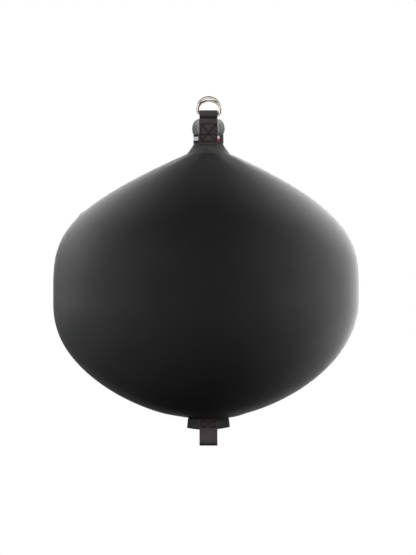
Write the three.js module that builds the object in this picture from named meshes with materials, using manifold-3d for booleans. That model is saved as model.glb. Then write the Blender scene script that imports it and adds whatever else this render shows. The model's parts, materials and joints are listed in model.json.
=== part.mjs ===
// Round inflatable boat fender: a fabric covered ball with a hanging strap, two D-rings and a tail loop.
// Millimetres, +Z up, front towards -Y. The origin is on the centre line, level with the inside of the
// front ring's crown, where a line would bear. The pieces are built from the ball's widest level up and
// down, and one group then drops them all below the origin.

import * as THREE from 'three';
import { mergeVertices } from 'three/addons/utils/BufferGeometryUtils.js';
import Module from 'manifold-3d';

const wasm = await Module();
wasm.setup();

// Ball cover
const ballDiameter = 850;
const coverWall = 1.5;
const neckRimDiameter = 120;
const neckRimHeight = 397;
const shoulderAngle = 25.5;
const shoulderReach = 322;
const upperFlankReach = 207;
const tailRimDiameter = 113.6;
const tailRimDepth = 336.5;
const hipAngle = 9;
const hipReach = 195;
const lowerFlankReach = 180;

// Inner bladder and its valve
const neckDomeAngle = 23;
const tailDomeAngle = 3;
const valveDiameter = 9;
const valveHeight = 4.6;
const valveBoreDiameter = 6;
const valveBoreDepth = 3.2;
const valveAngle = 11.5;
const plugThickness = 2.4;
const plugRecess = 0.8;

// Gathered neck above the ball
const neckConeHeight = 29;
const neckStraightRun = 4;
const neckPinchWidth = 81;
const neckPinchDepth = 18;
const neckLobeWidth = 91.5;
const neckLobeRise = 15.5;
const neckLobeFullness = 8;
const neckCrownRise = 29;
const neckTopWidth = 44;
const neckTopDepth = 4.4;
const gatherWall = 3;
const pocketShare = 0.8;

// Sewn tongue below the ball
const tongueWidth = 119.2;
const tongueRootWidth = 113.4;
const tongueDepth = 16;
const tongueRootDrop = 4.1;
const tongueCornerDrop = 25.5;
const tongueMiddleDrop = 32;
const tongueEdgeDepth = 9;

// Neck band and the two tabs sewn on it
const bandWidth = 25;
const bandThickness = 1.2;
const tabThickness = 0.6;
const leftTabHeight = 10.5;
const leftTabRise = 1;
const leftTabSpan = [182, 228];
const rightTabHeight = 15.5;
const rightTabRise = 0;
const rightTabSpan = [308, 320];

// Webbing straps
const strapWidth = 50;
const strapThickness = 2.2;
const strapTail = 3;
const strapWaistGap = 5.2;
const strapWaistRise = 1.6;
const strapWaistToBars = 7.5;
const loopBelly = 23;
const loopLength = 47;

// D-rings
const ringWire = 6;
const ringOuterWidth = 68;
const ringOuterHeight = 53;
const ringCornerRadius = 5;
const ringGap = 0.6;
const ringSlack = 0.6;
const frontRingTilt = 7.5;
const frontRingShift = -1.3;
const rearRingTilt = 1.5;
const rearRingShift = 1.5;
const rearRingLean = 37;

// Fits and fineness
const seamGap = 0.3;
const roundSteps = 48;
const flankSteps = 9;
const wireSides = 10;

// Finishes, one material for each mesh
const finishes = {
  coverFabric: { color: 0x232524, roughness: 0.92, metalness: 0 },
  bladderSkin: { color: 0x1c1d1f, roughness: 0.55, metalness: 0 },
  webbing: { color: 0x302d2c, roughness: 0.85, metalness: 0 },
  bandTape: { color: 0x1d1c20, roughness: 0.85, metalness: 0 },
  paleTab: { color: 0xd5d4d8, roughness: 0.8, metalness: 0 },
  ringSteel: { color: 0xc9c4bd, roughness: 0.18, metalness: 1 },
  valvePlastic: { color: 0x121212, roughness: 0.5, metalness: 0 },
};

// Heights worked out from the sizes above, all from the ball's widest level
const ballRadius = ballDiameter / 2;
const bandBottom = neckRimHeight + neckConeHeight;
const bandTop = bandBottom + bandWidth;
const lobeHeight = bandTop + neckLobeRise;
const neckTop = lobeHeight + neckCrownRise;
const tongueRoot = -tailRimDepth - tongueRootDrop;
const tongueBottom = -tailRimDepth - tongueMiddleDrop;

const radians = THREE.MathUtils.degToRad;
const mix = THREE.MathUtils.lerp;

function toSolid(geometry) {
  geometry.deleteAttribute('normal');
  geometry.deleteAttribute('uv');
  const merged = mergeVertices(geometry, 1e-4);
  const vertProperties = new Float32Array(merged.attributes.position.array);
  const triVerts = new Uint32Array(merged.index.array);
  return new wasm.Manifold(new wasm.Mesh({ numProp: 3, vertProperties, triVerts }));
}

function fromSolid(solid) {
  const { vertProperties, triVerts } = solid.getMesh();
  const geometry = new THREE.BufferGeometry();
  geometry.setAttribute('position', new THREE.BufferAttribute(new Float32Array(vertProperties), 3));
  geometry.setIndex(new THREE.BufferAttribute(new Uint32Array(triVerts), 1));
  return geometry;
}

function makeMesh(name, geometry, finish) {
  geometry.computeVertexNormals();
  const mesh = new THREE.Mesh(geometry, new THREE.MeshStandardMaterial(finish));
  mesh.name = name;
  return mesh;
}

// A profile in radius and height, turned about the upright axis.
function turn(profile) {
  return new THREE.LatheGeometry(profile, roundSteps).rotateX(Math.PI / 2);
}

// Skins a stack of closed loops into one body. Loops run anticlockwise seen from above, with the same
// number of points. The ends are zipped from front to back, or a ring of loops is joined to its start.
function loft(loops, { ring = false } = {}) {
  const count = loops[0].length;
  const rows = loops.length;
  const indices = [];
  for (let row = 0; row < (ring ? rows : rows - 1); row++) {
    for (let j = 0; j < count; j++) {
      const here = row * count;
      const next = ((row + 1) % rows) * count;
      const k = (j + 1) % count;
      indices.push(here + j, here + k, next + k);
      indices.push(here + j, next + k, next + j);
    }
  }
  const top = (rows - 1) * count;
  for (let j = 0; !ring && j < count / 2; j++) {
    const across = (count - j) % count;
    const beyond = count - j - 1;
    if (j + 1 !== beyond) {
      indices.push(j, beyond, j + 1);
      indices.push(top + j, top + j + 1, top + beyond);
    }
    if (across !== j) {
      indices.push(j, across, beyond);
      indices.push(top + j, top + beyond, top + across);
    }
  }
  const geometry = new THREE.BufferGeometry().setFromPoints(loops.flat());
  geometry.setIndex(indices);
  return geometry;
}

function slanted(length, angle) {
  return new THREE.Vector2(length * Math.cos(radians(angle)), length * Math.sin(radians(angle)));
}

// The cover's outline from the tail rim up to the neck rim, set in from the outer face by a distance.
function coverOutline(inset) {
  const widest = new THREE.Vector2(ballRadius, 0);
  const neckRim = new THREE.Vector2(neckRimDiameter / 2, neckRimHeight);
  const tailRim = new THREE.Vector2(tailRimDiameter / 2, -tailRimDepth);
  const shoulder = slanted(shoulderReach, -shoulderAngle);
  const hip = slanted(hipReach, hipAngle);
  const lower = new THREE.CubicBezierCurve(
    tailRim,
    tailRim.clone().add(hip),
    new THREE.Vector2(ballRadius, -lowerFlankReach),
    widest,
  );
  const upper = new THREE.CubicBezierCurve(
    widest,
    new THREE.Vector2(ballRadius, upperFlankReach),
    neckRim.clone().add(shoulder),
    neckRim,
  );
  const setIn = (curve, t) => {
    const along = curve.getTangent(t);
    return curve.getPoint(t).add(new THREE.Vector2(-along.y, along.x).multiplyScalar(inset));
  };
  const outline = [];
  for (let i = 0; i <= 2 * flankSteps; i++) {
    const t = i / flankSteps;
    outline.push(t < 1 ? setIn(lower, t) : setIn(upper, t - 1));
  }
  return outline;
}

// One half of the ball cover: the wall turned all round, then cut along the side seams.
function buildCoverHalf(side) {
  const profile = [...coverOutline(0), ...coverOutline(coverWall).reverse()];
  const wall = toSolid(turn([...profile, profile[0].clone()]));
  const reach = 2 * (ballDiameter + neckRimHeight);
  const half = new THREE.BoxGeometry(reach, reach, reach);
  half.translate(0, side * (reach / 2 + seamGap / 2), 0);
  return fromSolid(wall.intersect(toSolid(half)));
}

// The rounded cap that closes the bladder inside a rim: its sphere radius and centre height.
function domeAt(rim, angle, up) {
  const radius = rim.x / Math.sin(radians(angle));
  return { radius, centre: rim.y - up * radius * Math.cos(radians(angle)) };
}

const bladderOutline = coverOutline(coverWall + seamGap);
const neckDome = domeAt(bladderOutline.at(-1), neckDomeAngle, 1);
const tailDome = domeAt(bladderOutline[0], tailDomeAngle, -1);

function buildBladder() {
  const domeSteps = 2;
  const profile = [...bladderOutline];
  for (let i = 1; i <= domeSteps; i++) {
    const neckTurn = radians(neckDomeAngle * (1 - i / domeSteps));
    const tailTurn = radians(tailDomeAngle * (1 - i / domeSteps));
    profile.push(new THREE.Vector2(
      neckDome.radius * Math.sin(neckTurn),
      neckDome.centre + neckDome.radius * Math.cos(neckTurn),
    ));
    profile.unshift(new THREE.Vector2(
      tailDome.radius * Math.sin(tailTurn),
      tailDome.centre - tailDome.radius * Math.cos(tailTurn),
    ));
  }
  profile[0].x = 0;
  profile.at(-1).x = 0;
  return turn(profile);
}

// A flattened round section: half width along X, half depth along Y, fuller lobes towards its ends.
function flatLoop(height, halfWidth, halfDepth, lobe = 0) {
  return Array.from({ length: roundSteps }, (_, j) => {
    const angle = (2 * Math.PI * j) / roundSteps;
    const x = halfWidth * Math.cos(angle);
    const y = Math.sin(angle) * (halfDepth + lobe * Math.cos(angle) ** 2);
    return new THREE.Vector3(x, y, typeof height === 'function' ? height(x) : height);
  });
}

// The neck's cone between the cover's rim and the pinch. It is flattened a little below the band, where
// the strap's ends lie on it.
function neckConeLoop(share, inset) {
  const flattened = Math.min(share / (1 - neckStraightRun / neckConeHeight), 1);
  const widthEase = (1 - share) ** 1.15;
  const depthEase = (1 - flattened) ** 1.5;
  const slope = radians(shoulderAngle);
  const startRadius = neckRimDiameter / 2 - seamGap * Math.cos(slope) - inset * Math.sin(slope);
  const startHeight = neckRimHeight + seamGap * Math.sin(slope) - inset * Math.cos(slope);
  const thin = mix(0, inset, share);
  return flatLoop(
    mix(startHeight, bandBottom - thin, share),
    mix(neckPinchWidth / 2 - inset, startRadius, widthEase),
    mix(neckPinchDepth / 2 - inset / 2, startRadius, depthEase),
  );
}

// The neck above the band: its gathered end swells into a lobe at each side of the strap and closes in a
// rounded crown.
function neckCrownLoops() {
  const crownSteps = 6;
  const swell = 0.7;
  const loops = [flatLoop(
    bandTop + neckLobeRise / 3,
    mix(neckPinchWidth, neckLobeWidth, swell) / 2,
    neckPinchDepth / 2,
    neckLobeFullness * swell,
  )];
  for (let i = 0; i <= crownSteps; i++) {
    const share = 1 - (1 - i / crownSteps) ** 1.6;
    const ease = (1 - share ** 2.2) ** (1 / 2.2);
    loops.push(flatLoop(
      lobeHeight + share * neckCrownRise,
      mix(neckTopWidth, neckLobeWidth, ease) / 2,
      mix(neckTopDepth, neckPinchDepth, ease) / 2,
      neckLobeFullness * ease,
    ));
  }
  return loops;
}

function buildNeckSleeve() {
  const coneSteps = 6;
  const pocket = [];
  for (let i = coneSteps - 1; i >= 0; i--) {
    const share = (pocketShare * i) / (coneSteps - 1);
    pocket.push(neckConeLoop(share, mix(coverWall, gatherWall, share)));
  }
  const cone = [];
  for (let i = 0; i <= coneSteps; i++) {
    cone.push(neckConeLoop(i / coneSteps, 0));
  }
  const pinch = flatLoop(bandTop, neckPinchWidth / 2, neckPinchDepth / 2);
  return loft([...pocket, ...cone, pinch, ...neckCrownLoops()]);
}

// The valve stands on the bladder's neck dome, square to it, and shows through a hole in the front of
// the neck sleeve.
function placeOnDome(geometry) {
  geometry.rotateX(Math.PI / 2);
  geometry.translate(0, 0, neckDome.radius + seamGap);
  geometry.rotateX(radians(valveAngle));
  geometry.translate(0, 0, neckDome.centre);
  return geometry;
}

function valveHole() {
  const drill = new THREE.CylinderGeometry(
    valveDiameter / 2 + seamGap,
    valveDiameter / 2 + seamGap,
    4 * valveHeight,
    24,
  );
  return toSolid(placeOnDome(drill));
}

function buildValveBody() {
  const outer = valveDiameter / 2;
  const bore = valveBoreDiameter / 2;
  const floor = valveHeight - valveBoreDepth;
  const profile = [[0, 0], [outer, 0], [outer, valveHeight], [bore, valveHeight], [bore, floor], [0, floor]];
  return placeOnDome(new THREE.LatheGeometry(profile.map(([r, z]) => new THREE.Vector2(r, z)), 24));
}

function buildValvePlug() {
  const radius = valveBoreDiameter / 2 - seamGap;
  const seat = valveHeight - valveBoreDepth + seamGap;
  const top = seat + plugThickness;
  const dish = radius / 2;
  const profile = [[0, seat], [radius, seat], [radius, top], [dish, top], [0, top - plugRecess]];
  return placeOnDome(new THREE.LatheGeometry(profile.map(([r, z]) => new THREE.Vector2(r, z)), 24));
}

// The two halves of the cover are closed below the ball by a flat sewn tongue with a bowed lower edge.
function buildTongue() {
  const floorSteps = 4;
  const slope = radians(hipAngle);
  const rimRadius = tailRimDiameter / 2 - seamGap * Math.cos(slope);
  const rimHeight = -tailRimDepth - seamGap * Math.sin(slope);
  const floorLoop = (share, inset) => flatLoop(
    mix(rimHeight + inset * Math.cos(slope), tongueRoot + inset, share),
    mix(rimRadius, tongueRootWidth / 2, share) - inset,
    mix(rimRadius - inset, tongueDepth / 2 - inset / 2, 1 - (1 - share) ** 1.6),
  );
  const edge = (drop) => (x) => {
    const across = Math.min(Math.abs(x) / (tongueWidth / 2), 1);
    return -tailRimDepth - mix(tongueMiddleDrop, tongueCornerDrop, across ** 2) + drop;
  };
  const loops = [
    flatLoop(edge(0), tongueWidth / 2 - 1.5, tongueEdgeDepth / 2),
    flatLoop(edge(2.5), tongueWidth / 2, tongueDepth / 2),
  ];
  for (let i = floorSteps; i >= 0; i--) {
    loops.push(floorLoop(i / floorSteps, 0));
  }
  for (let i = 0; i < floorSteps; i++) {
    loops.push(floorLoop((pocketShare * i) / (floorSteps - 1), coverWall));
  }
  return loft(loops);
}

// Semi-axes of the band's inner face, round the pinched neck.
const bandInnerWidth = neckPinchWidth / 2 + seamGap;
const bandInnerDepth = neckPinchDepth / 2 + seamGap;

function ellipsePoints(growth, from, to, steps) {
  return Array.from({ length: steps + 1 }, (_, i) => {
    const angle = radians(mix(from, to, i / steps));
    return new THREE.Vector2(
      (bandInnerWidth + growth) * Math.cos(angle),
      (bandInnerDepth + growth) * Math.sin(angle),
    );
  });
}

function buildBand() {
  const shape = new THREE.Shape(ellipsePoints(bandThickness, 0, 360, roundSteps).slice(0, -1));
  shape.holes.push(new THREE.Path(ellipsePoints(0, 0, 360, roundSteps).slice(0, -1)));
  const geometry = new THREE.ExtrudeGeometry(shape, { depth: bandWidth, bevelEnabled: false });
  return geometry.translate(0, 0, bandBottom);
}

function buildTab([from, to], height, rise) {
  const steps = 6;
  const inner = ellipsePoints(bandThickness + seamGap, from, to, steps);
  const outer = ellipsePoints(bandThickness + seamGap + tabThickness, from, to, steps);
  const shape = new THREE.Shape([...outer, ...inner.reverse()]);
  const geometry = new THREE.ExtrudeGeometry(shape, { depth: height, bevelEnabled: false });
  return geometry.translate(0, 0, bandBottom + (bandWidth - height) / 2 + rise);
}

// Webbing laid on an inner line given in the Y-Z plane, front to back, and as wide as the strap.
function buildStrap(innerLine) {
  const inner = innerLine.filter((p, i) => i === 0 || p.distanceTo(innerLine[i - 1]) > 1e-6);
  const outer = inner.map((p, i) => {
    const before = inner[Math.max(i - 1, 0)];
    const after = inner[Math.min(i + 1, inner.length - 1)];
    const along = after.clone().sub(before).normalize();
    return p.clone().add(new THREE.Vector2(-along.y, along.x).multiplyScalar(strapThickness));
  });
  const shape = new THREE.Shape([...inner, ...outer.reverse()]);
  const geometry = new THREE.ExtrudeGeometry(shape, { depth: strapWidth, bevelEnabled: false });
  const [x, y, z] = [new THREE.Vector3(1, 0, 0), new THREE.Vector3(0, 1, 0), new THREE.Vector3(0, 0, 1)];
  geometry.applyMatrix4(new THREE.Matrix4().makeBasis(y, z, x));
  return geometry.translate(-strapWidth / 2, 0, 0);
}

function mirrorLine(half) {
  const back = half.slice(0, -1).reverse();
  return [...half, ...back.map((p) => new THREE.Vector2(-p.x, p.y))];
}

// The strap's eye holds both ring bars side by side under its top.
const barOffset = (ringWire + ringGap) / 2;
const eyeRadius = barOffset + ringWire / 2 + seamGap + ringSlack;
const barLift = Math.sqrt((eyeRadius - ringWire / 2 - seamGap) ** 2 - barOffset ** 2);
const eyeDrop = strapWidth * Math.tan(radians(frontRingTilt)) - barLift;
const waistHeight = neckTop + strapWaistRise;
const eyeHeight = waistHeight + strapWaistToBars + eyeDrop;

// Where the strap lies on a loop of the neck: just clear of its greatest depth within the strap's width.
function strapSeat(loop) {
  const nearStrap = loop.filter((p) => Math.abs(p.x) < strapWidth / 2 + ringWire);
  const depth = Math.max(...nearStrap.map((p) => p.y));
  return new THREE.Vector2(-depth - seamGap, loop[0].z);
}

function buildTopStrap() {
  const onBand = bandInnerDepth + bandThickness + seamGap;
  const waist = strapWaistGap / 2;
  const overNeck = neckCrownLoops().map(strapSeat);
  const eye = new THREE.Path();
  eye.moveTo(-waist, waistHeight);
  eye.bezierCurveTo(
    -waist, waistHeight + strapWaistToBars / 2,
    -eyeRadius, waistHeight + strapWaistToBars / 2,
    -eyeRadius, waistHeight + strapWaistToBars,
  );
  eye.lineTo(-eyeRadius, eyeHeight);
  const crown = new THREE.EllipseCurve(0, eyeHeight, eyeRadius, eyeRadius, Math.PI, Math.PI / 2, true);
  return buildStrap(mirrorLine([
    new THREE.Vector2(-onBand, bandBottom - strapTail),
    new THREE.Vector2(-onBand, bandTop + seamGap),
    ...overNeck,
    ...eye.getPoints(7),
    ...crown.getPoints(8),
  ]));
}

// The tail loop is sewn to both faces of the tongue and hangs in an open belly below it. Its line runs
// down the rear face first, so that the webbing's outer side stays on the left.
function buildTailLoop() {
  const onTongue = tongueDepth / 2 + seamGap;
  const belly = loopBelly / 2;
  const bendHeight = tongueBottom - loopLength + belly + strapThickness;
  const flare = (tongueBottom - bendHeight) / 2;
  const line = new THREE.Path();
  line.moveTo(onTongue, tongueRoot - seamGap);
  line.lineTo(onTongue, tongueBottom);
  line.bezierCurveTo(onTongue, tongueBottom - flare, belly, bendHeight + flare, belly, bendHeight);
  const bend = new THREE.EllipseCurve(0, bendHeight, belly, belly, 0, -Math.PI / 2, true);
  return buildStrap(mirrorLine([...line.getPoints(7), ...bend.getPoints(8)]));
}

// A D-ring round its bar: the bar lies along X through the origin and the bow rises along +Z.
const bowRadius = (ringOuterWidth - ringWire) / 2;
const bowHeight = ringOuterHeight - ringWire - bowRadius;

function buildRing() {
  const corner = ringCornerRadius;
  const straight = bowRadius - corner;
  const arc = (x, z, radius, from, to, steps) =>
    new THREE.EllipseCurve(x, z, radius, radius, from * Math.PI, to * Math.PI).getPoints(steps);
  const path = [
    ...arc(straight, corner, corner, 1.5, 2, 4),
    ...arc(0, bowHeight, bowRadius, 0, 1, 20),
    ...arc(-straight, corner, corner, 1, 1.5, 4),
  ];
  const loops = path.map((p, i) => {
    const before = path.at(i - 1);
    const after = path[(i + 1) % path.length];
    const along = after.clone().sub(before).normalize();
    return Array.from({ length: wireSides }, (_, j) => {
      const turned = (2 * Math.PI * (j + 0.5)) / wireSides;
      const across = (ringWire / 2) * Math.cos(turned);
      const depth = (ringWire / 2) * Math.sin(turned);
      return new THREE.Vector3(p.x + across * along.y, depth, p.y - across * along.x);
    });
  });
  return loft(loops, { ring: true });
}

// A ring's bar lies as high in the strap's eye as its higher end allows.
function placeRing(mesh, side, tilt, shift, lean) {
  const slope = Math.tan(radians(tilt));
  const height = eyeHeight + barLift - (strapWidth / 2 + shift) * slope;
  mesh.position.set(shift, side * barOffset, height);
  mesh.rotation.set(-radians(lean), radians(tilt), 0, 'YXZ');
  return mesh;
}

const neckSleeve = fromSolid(toSolid(buildNeckSleeve()).subtract(valveHole()));
const frontRing = placeRing(
  makeMesh('front_ring', buildRing(), finishes.ringSteel), -1, frontRingTilt, frontRingShift, 0,
);
const rearRing = placeRing(
  makeMesh('rear_ring', buildRing(), finishes.ringSteel), 1, rearRingTilt, rearRingShift, rearRingLean,
);

const fender = new THREE.Group();
fender.add(
  makeMesh('cover_front', buildCoverHalf(-1), finishes.coverFabric),
  makeMesh('cover_rear', buildCoverHalf(1), finishes.coverFabric),
  makeMesh('bladder', buildBladder(), finishes.bladderSkin),
  makeMesh('valve_body', buildValveBody(), finishes.valvePlastic),
  makeMesh('valve_plug', buildValvePlug(), finishes.valvePlastic),
  makeMesh('neck_sleeve', neckSleeve, finishes.coverFabric),
  makeMesh('tail_tongue', buildTongue(), finishes.coverFabric),
  makeMesh('neck_band', buildBand(), finishes.bandTape),
  makeMesh('left_tab', buildTab(leftTabSpan, leftTabHeight, leftTabRise), finishes.paleTab),
  makeMesh('right_tab', buildTab(rightTabSpan, rightTabHeight, rightTabRise), finishes.paleTab),
  makeMesh('top_strap', buildTopStrap(), finishes.webbing),
  makeMesh('tail_loop', buildTailLoop(), finishes.webbing),
  frontRing,
  rearRing,
);

// The inside of the front ring's crown comes to the origin's level.
const bowRise = bowHeight * Math.cos(radians(frontRingTilt)) + bowRadius;
fender.position.z = -(frontRing.position.z + bowRise - ringWire / 2);

const part = new THREE.Group();
part.add(fender);

export default part;
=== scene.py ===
"""Dresses the ball fender for its studio picture: fabric, webbing, thread, steel, light and camera.

Metres, +Z up, the front towards -Y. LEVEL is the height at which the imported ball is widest. A rise is a
height above it, and a drop is a distance below a named place.
"""

import json
import logging
import math
from abc import ABC, abstractmethod
from collections.abc import Callable, Sequence
from dataclasses import dataclass, field
from enum import Enum
from functools import partial
from typing import NamedTuple

import bmesh
import bpy
import numpy as np
from mathutils import Matrix, Vector, noise


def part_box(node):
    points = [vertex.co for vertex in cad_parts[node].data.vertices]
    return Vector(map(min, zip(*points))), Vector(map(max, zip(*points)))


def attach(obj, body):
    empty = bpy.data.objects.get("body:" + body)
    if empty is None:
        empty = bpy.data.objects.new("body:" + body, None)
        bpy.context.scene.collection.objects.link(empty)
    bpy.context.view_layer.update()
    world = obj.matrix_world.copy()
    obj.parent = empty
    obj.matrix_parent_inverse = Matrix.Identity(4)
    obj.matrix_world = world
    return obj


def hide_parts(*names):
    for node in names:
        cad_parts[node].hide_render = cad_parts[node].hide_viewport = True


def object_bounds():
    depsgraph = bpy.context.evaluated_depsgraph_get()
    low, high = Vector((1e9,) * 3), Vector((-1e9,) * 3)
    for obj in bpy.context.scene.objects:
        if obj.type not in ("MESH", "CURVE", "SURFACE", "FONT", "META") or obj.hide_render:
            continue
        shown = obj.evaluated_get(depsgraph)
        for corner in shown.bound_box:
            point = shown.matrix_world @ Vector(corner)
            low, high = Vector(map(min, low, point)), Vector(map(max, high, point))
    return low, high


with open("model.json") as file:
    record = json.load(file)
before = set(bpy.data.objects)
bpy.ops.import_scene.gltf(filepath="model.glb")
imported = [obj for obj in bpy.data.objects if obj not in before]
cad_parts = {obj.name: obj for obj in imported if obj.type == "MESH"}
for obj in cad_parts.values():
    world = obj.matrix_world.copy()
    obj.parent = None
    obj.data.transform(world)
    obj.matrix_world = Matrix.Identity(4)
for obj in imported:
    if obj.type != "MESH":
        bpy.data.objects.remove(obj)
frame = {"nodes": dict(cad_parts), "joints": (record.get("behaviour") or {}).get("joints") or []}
cad_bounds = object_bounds()
log = logging.getLogger("fender")

MM = 0.001
SEAM_GAP = 0.3 * MM
NECK_RIM_RISE = 397 * MM
NECK_CONE_HEIGHT = 29 * MM
BAND_WIDTH = 25 * MM
TAIL_RIM_DROP = 336.5 * MM
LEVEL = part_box("neck_band")[0].z - (NECK_RIM_RISE + NECK_CONE_HEIGHT)

Socket = bpy.types.NodeSocket
Colour = tuple[float, float, float]
Grid = list[list[Vector]]


class Body(str, Enum):
    """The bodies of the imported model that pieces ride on."""

    FENDER = "fender"
    FRONT_RING = "front_d_ring"
    REAR_RING = "rear_d_ring"


class Side(int, Enum):
    """The two faces of the fender along Y."""

    FRONT = -1
    REAR = 1


def mix(start: float, end: float, share: float) -> float:
    """Returns the value a share of the way from start to end."""
    return start + (end - start) * share


def ease(share: float) -> float:
    """Returns a share held to 0 to 1 and flattened at both ends."""
    held = min(max(share, 0.0), 1.0)
    return held * held * (3 - 2 * held)


def bump(distance: float, reach: float) -> float:
    """Returns a soft bump: 1 at no distance, falling away over its reach."""
    return math.exp(-((distance / reach) ** 2))


def round_angles(count: int) -> list[float]:
    """Returns angles spaced evenly round a circle, in radians."""
    return [2 * math.pi * i / count for i in range(count)]


def squared_sine(turn: float, power: float) -> float:
    """Returns a sine made squarer by a power under 1, with its sign kept."""
    return math.copysign(abs(math.sin(turn)) ** power, math.sin(turn))


def run_lengths(line: np.ndarray) -> np.ndarray:
    """Returns the distance along a line of each of its points."""
    return np.concatenate([[0], np.cumsum(np.hypot(*np.diff(line, axis=0).T))])


def sample(runs: np.ndarray, rows: np.ndarray, run: float | np.ndarray) -> list:
    """Returns each column of a table of points at one distance along it, or at several."""
    return [np.interp(run, runs, column) for column in rows.T]


def mirrored(half: list[tuple[float, float]]) -> np.ndarray:
    """Returns a line of Y and Z that goes on from its last point, at Y 0, as its own mirror image."""
    return np.array(half + [(-y, z) for y, z in reversed(half[:-1])])


# Materials


class Nodes:
    """A material's node tree, with short calls that add its nodes and feed their sockets."""

    def __init__(self, name: str) -> None:
        """Starts a material that holds one plain surface shader.

        Args:
            name: The material's name.
        """
        self.material = bpy.data.materials.new(name)
        self.material.use_nodes = True
        self.tree = self.material.node_tree
        self.shader = self.tree.nodes["Principled BSDF"]

    def feed(self, socket: Socket, value: object) -> None:
        """Links a socket to a node's output, or sets it.

        Args:
            socket: The input to feed.
            value: An output socket, a number, or three numbers for a colour or a vector.
        """
        if isinstance(value, Socket):
            self.tree.links.new(value, socket)
        elif socket.type == "RGBA":
            socket.default_value = (*value, 1.0)
        else:
            socket.default_value = value

    def add(self, kind: str, inputs: dict | None = None, **settings: object) -> bpy.types.Node:
        """Adds a node.

        Args:
            kind: The node's type without its ShaderNode prefix.
            inputs: What feeds each input, by name or number.
            settings: The node's own options.

        Returns:
            The node.
        """
        node = self.tree.nodes.new("ShaderNode" + kind)
        for key, value in settings.items():
            setattr(node, key, value)
        for key, value in (inputs or {}).items():
            self.feed(node.inputs[key], value)
        return node

    def surface(self, **inputs: object) -> None:
        """Feeds the surface shader's inputs, named with _ for each space."""
        for key, value in inputs.items():
            self.feed(self.shader.inputs[key.replace("_", " ")], value)

    def place(self) -> Socket:
        """Returns each point's place in its own piece, in metres."""
        return self.add("TexCoord").outputs["Object"]

    def grain(self, scale: float, detail: float = 2.0, place: Socket | None = None) -> Socket:
        """Returns cloudy noise from 0 to 1, laid on the piece's own place or on another one."""
        inputs = {"Vector": place or self.place(), "Scale": scale, "Detail": detail}
        return self.add("TexNoise", inputs).outputs["Fac"]

    def blend(self, share: Socket, first: object, second: object) -> Socket:
        """Returns a colour mixed from the first at a share of 0 and the second at 1."""
        return self.add("Mix", {0: share, 6: first, 7: second}, data_type="RGBA").outputs[2]

    def math(self, operation: str, *values: object) -> Socket:
        """Returns what a Math node's operation makes of sockets and numbers."""
        return self.add("Math", dict(enumerate(values)), operation=operation).outputs[0]

    def ramp(self, value: Socket, low: float, high: float) -> Socket:
        """Returns a value spread smoothly over 0 to 1, from low up to high."""
        inputs = {"Value": value, "From Min": low, "From Max": high}
        return self.add("MapRange", inputs, interpolation_type="SMOOTHSTEP").outputs["Result"]

    def relief(self, height: Socket, depth: float, strength: float, under: Socket | None = None) -> Socket:
        """Turns a height into bent normals.

        Args:
            height: The height, from 0 to 1.
            depth: The depth in metres that 0 to 1 stands for.
            strength: How much of it shows.
            under: Normals that this relief lies on.

        Returns:
            The normals.
        """
        inputs = {"Height": height, "Distance": depth, "Strength": strength}
        if under is not None:
            inputs["Normal"] = under
        return self.add("Bump", inputs).outputs["Normal"]


class Finish(ABC):
    """A finish that is made into a material once and then shared."""

    made: dict["Finish", bpy.types.Material] = {}

    def material(self) -> bpy.types.Material:
        """Returns the finish's material, made on its first use."""
        if self not in Finish.made:
            nodes = Nodes(type(self).__name__)
            self.dress(nodes)
            Finish.made[self] = nodes.material
        return Finish.made[self]

    @abstractmethod
    def dress(self, nodes: Nodes) -> None:
        """Builds the finish in a tree of nodes."""


@dataclass(frozen=True)
class CoverFabric(Finish):
    """Matte charcoal cover fabric with a fine even cloth face."""

    dark: Colour = (0.0424, 0.0452, 0.0424)
    light: Colour = (0.0469, 0.0497, 0.0468)
    roughness: float = 0.6
    gloss: float = 0.05
    clouds_per_metre: float = 9.0
    slack_per_metre: float = 28.0
    slack_depth: float = 0.5 * MM
    cloths_per_metre: float = 1300.0
    face_depth: float = 0.12 * MM

    def tone(self, nodes: Nodes, plain: Socket) -> Socket:
        """Returns the fabric's colour, here its plain one."""
        return plain

    def dress(self, nodes: Nodes) -> None:
        """Builds soft mottling and a fine cloth face.

        Args:
            nodes: The tree to build it in.
        """
        clouds = nodes.ramp(nodes.grain(self.clouds_per_metre, 3.0), 0.3, 0.7)
        face = nodes.grain(self.cloths_per_metre, 1.0)
        slack = nodes.relief(nodes.grain(self.slack_per_metre, 1.0), self.slack_depth, 0.35)
        nodes.surface(
            Base_Color=self.tone(nodes, nodes.blend(clouds, self.dark, self.light)),
            Roughness=self.roughness,
            Normal=nodes.relief(face, self.face_depth, 0.5, under=slack),
            Specular_IOR_Level=self.gloss,
        )


@dataclass(frozen=True)
class NeckFabric(CoverFabric):
    """The same fabric with painted light: lighter up the neck, and paler still above the band, standing in
    for the light that falls on the neck from above.
    """

    rim: float = 0.0
    band: float = 0.0
    # painted light: the cone is painted lighter towards the band, for the light that falls on it from above
    painted_cone_light: Colour = (0.070, 0.073, 0.070)
    # painted highlight: the neck above the band is painted paler, for the light that the lobes catch from
    # above and at their sides
    pale: Colour = (0.117, 0.118, 0.116)
    painted_light_overlap: float = 4 * MM

    def tone(self, nodes: Nodes, plain: Socket) -> Socket:
        """Paints light into the plain colour with height: lighter up the cone, and paler above the band.

        Args:
            nodes: The tree to build it in.
            plain: The fabric's plain colour.

        Returns:
            The colour with the painted light in it.
        """
        height = nodes.add("SeparateXYZ", {"Vector": nodes.place()}).outputs["Z"]
        # painted light: the colour brightens up the cone, then turns paler above the band
        low = nodes.blend(nodes.ramp(height, self.rim - self.painted_light_overlap, self.band), plain, self.painted_cone_light)
        return nodes.blend(nodes.ramp(height, self.band, self.band + BAND_WIDTH), low, self.pale)


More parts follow.
